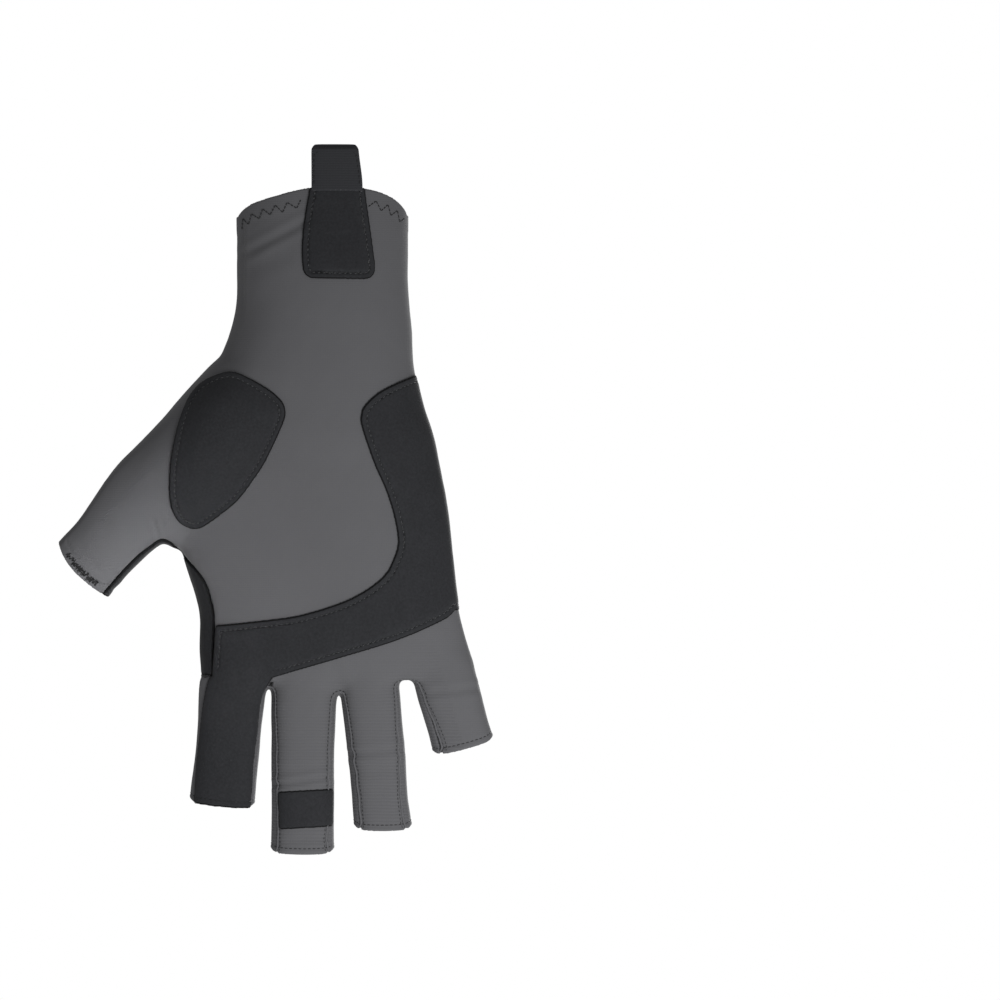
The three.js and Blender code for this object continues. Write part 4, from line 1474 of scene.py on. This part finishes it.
def outerArea(mesh):
    points, _, faces = mesh
    a, b, c = (points[faces[:, i]] for i in range(3))
    return float(np.linalg.norm(np.cross(b - a, c - a), axis=1).sum() / 2) * mm * mm


sheets = {"cutShare": 0.94, "leastFill": 0.31, "spare": 1.0001}  # knit is cut smaller than it is worn


def declareSheet(piece, mesh):
    area = outerArea(mesh) * sheets["cutShare"]
    low, high = mesh[0].min(0) * mm, mesh[0].max(0) * mm
    width, length = float(high[0] - low[0]), float(high[2] - low[2])
    grow = math.sqrt(max(area / (width * length), 1.0)) * sheets["spare"]
    width, length = width * grow, length * grow
    area = max(area, sheets["leastFill"] * width * length)
    print("sheet", piece.name, round(width / mm), round(length / mm), round(area * 1e4, 1))


declareSheet(palmPanel, palmMesh)
declareSheet(backPanel, backMesh)
declareSheet(gussetPiece, gussetMesh)
declareSheet(palmPatch, palmPatchMesh)
declareSheet(fingerBand, bandMesh)
declareSheet(tabPiece, tabMesh)
for name, strip in strips.items():
    declareSheet(strip, stripMeshes[name])

print("stage")


def areaLight(name, place, target, size, energy, spread):
    data = bpy.data.lights.new(name, "AREA")
    data.energy = energy
    data.size = size
    data.spread = math.radians(spread)
    light = newObject(name, data)
    light.location = place
    light.visible_camera = False
    light.rotation_euler = (Vector(target) - Vector(place)).to_track_quat("-Z", "Y").to_euler()


lights = named("place target size energy spread", {
    "key": ((0.13, -0.31, -0.255), (0.0, 0, -0.13), 0.24, 0.975, 180),
    "thumb": ((0.02, -0.38, -0.3), (-0.087, 0, -0.131), 0.06, 0.0105, 17),
    "rear": ((0.25, 0.7, -0.1), (0, 0, -0.1), 0.5, 4.5, 180),
})
for name, light in lights.items():
    areaLight(name, **light)

# White where the camera sees it, and a soft grey light on the glove
world = bpy.data.worlds.new("studio")
bpy.context.scene.world = world
world.use_nodes = True
world.node_tree.nodes.clear()
w = Nodes(world.node_tree)
seen = w.add("ShaderNodeLightPath").outputs["Is Camera Ray"]
softLight, backdrop = (
    w.add("ShaderNodeBackground", {"Color": (1, 1, 1, 1), "Strength": strength}) for strength in (0.3, 1.0)
)
blend = w.add("ShaderNodeMixShader", {0: seen, 1: softLight.outputs[0], 2: backdrop.outputs[0]})
w.add("ShaderNodeOutputWorld", {"Surface": blend.outputs[0]})

floorHalf, floorZ = 0.8, -0.48
floorCorners = [(x * floorHalf, y * floorHalf, floorZ) for x, y in ((-1, -1), (1, -1), (1, 1), (-1, 1))]
floorData = bpy.data.meshes.new("studio_floor")
floorData.from_pydata(floorCorners, [], [(0, 1, 2, 3)])
floor = newObject("studio_floor", floorData)
floorMaterial, n, place = newMaterial("pale_floor")
mottle = n.noise(place, 0.01, 2.0)
finishMaterial(n, n.shades(mottle, (1, 1, 1), 0.9, 0.94), 0.9, mottle, 0.0, 0.01, 0.1)
floorData.materials.append(floorMaterial)

# The camera looks squarely at the palm from far away, and the glove stands left of the middle of its view
view = {"centre": (0.06570, -0.1062), "distance": 6, "width": 0.37, "sensor": 36, "far": 20}
cameraData = bpy.data.cameras.new("camera")
cameraData.sensor_width = view["sensor"]
cameraData.lens = view["sensor"] * view["distance"] / view["width"]
cameraData.clip_end = view["far"]
camera = newObject("camera", cameraData)
camera.location = (view["centre"][0], -view["distance"], view["centre"][1])
camera.rotation_euler = (math.radians(90), 0, 0)
bpy.context.scene.camera = camera
bpy.context.scene.view_settings.view_transform = "Standard"
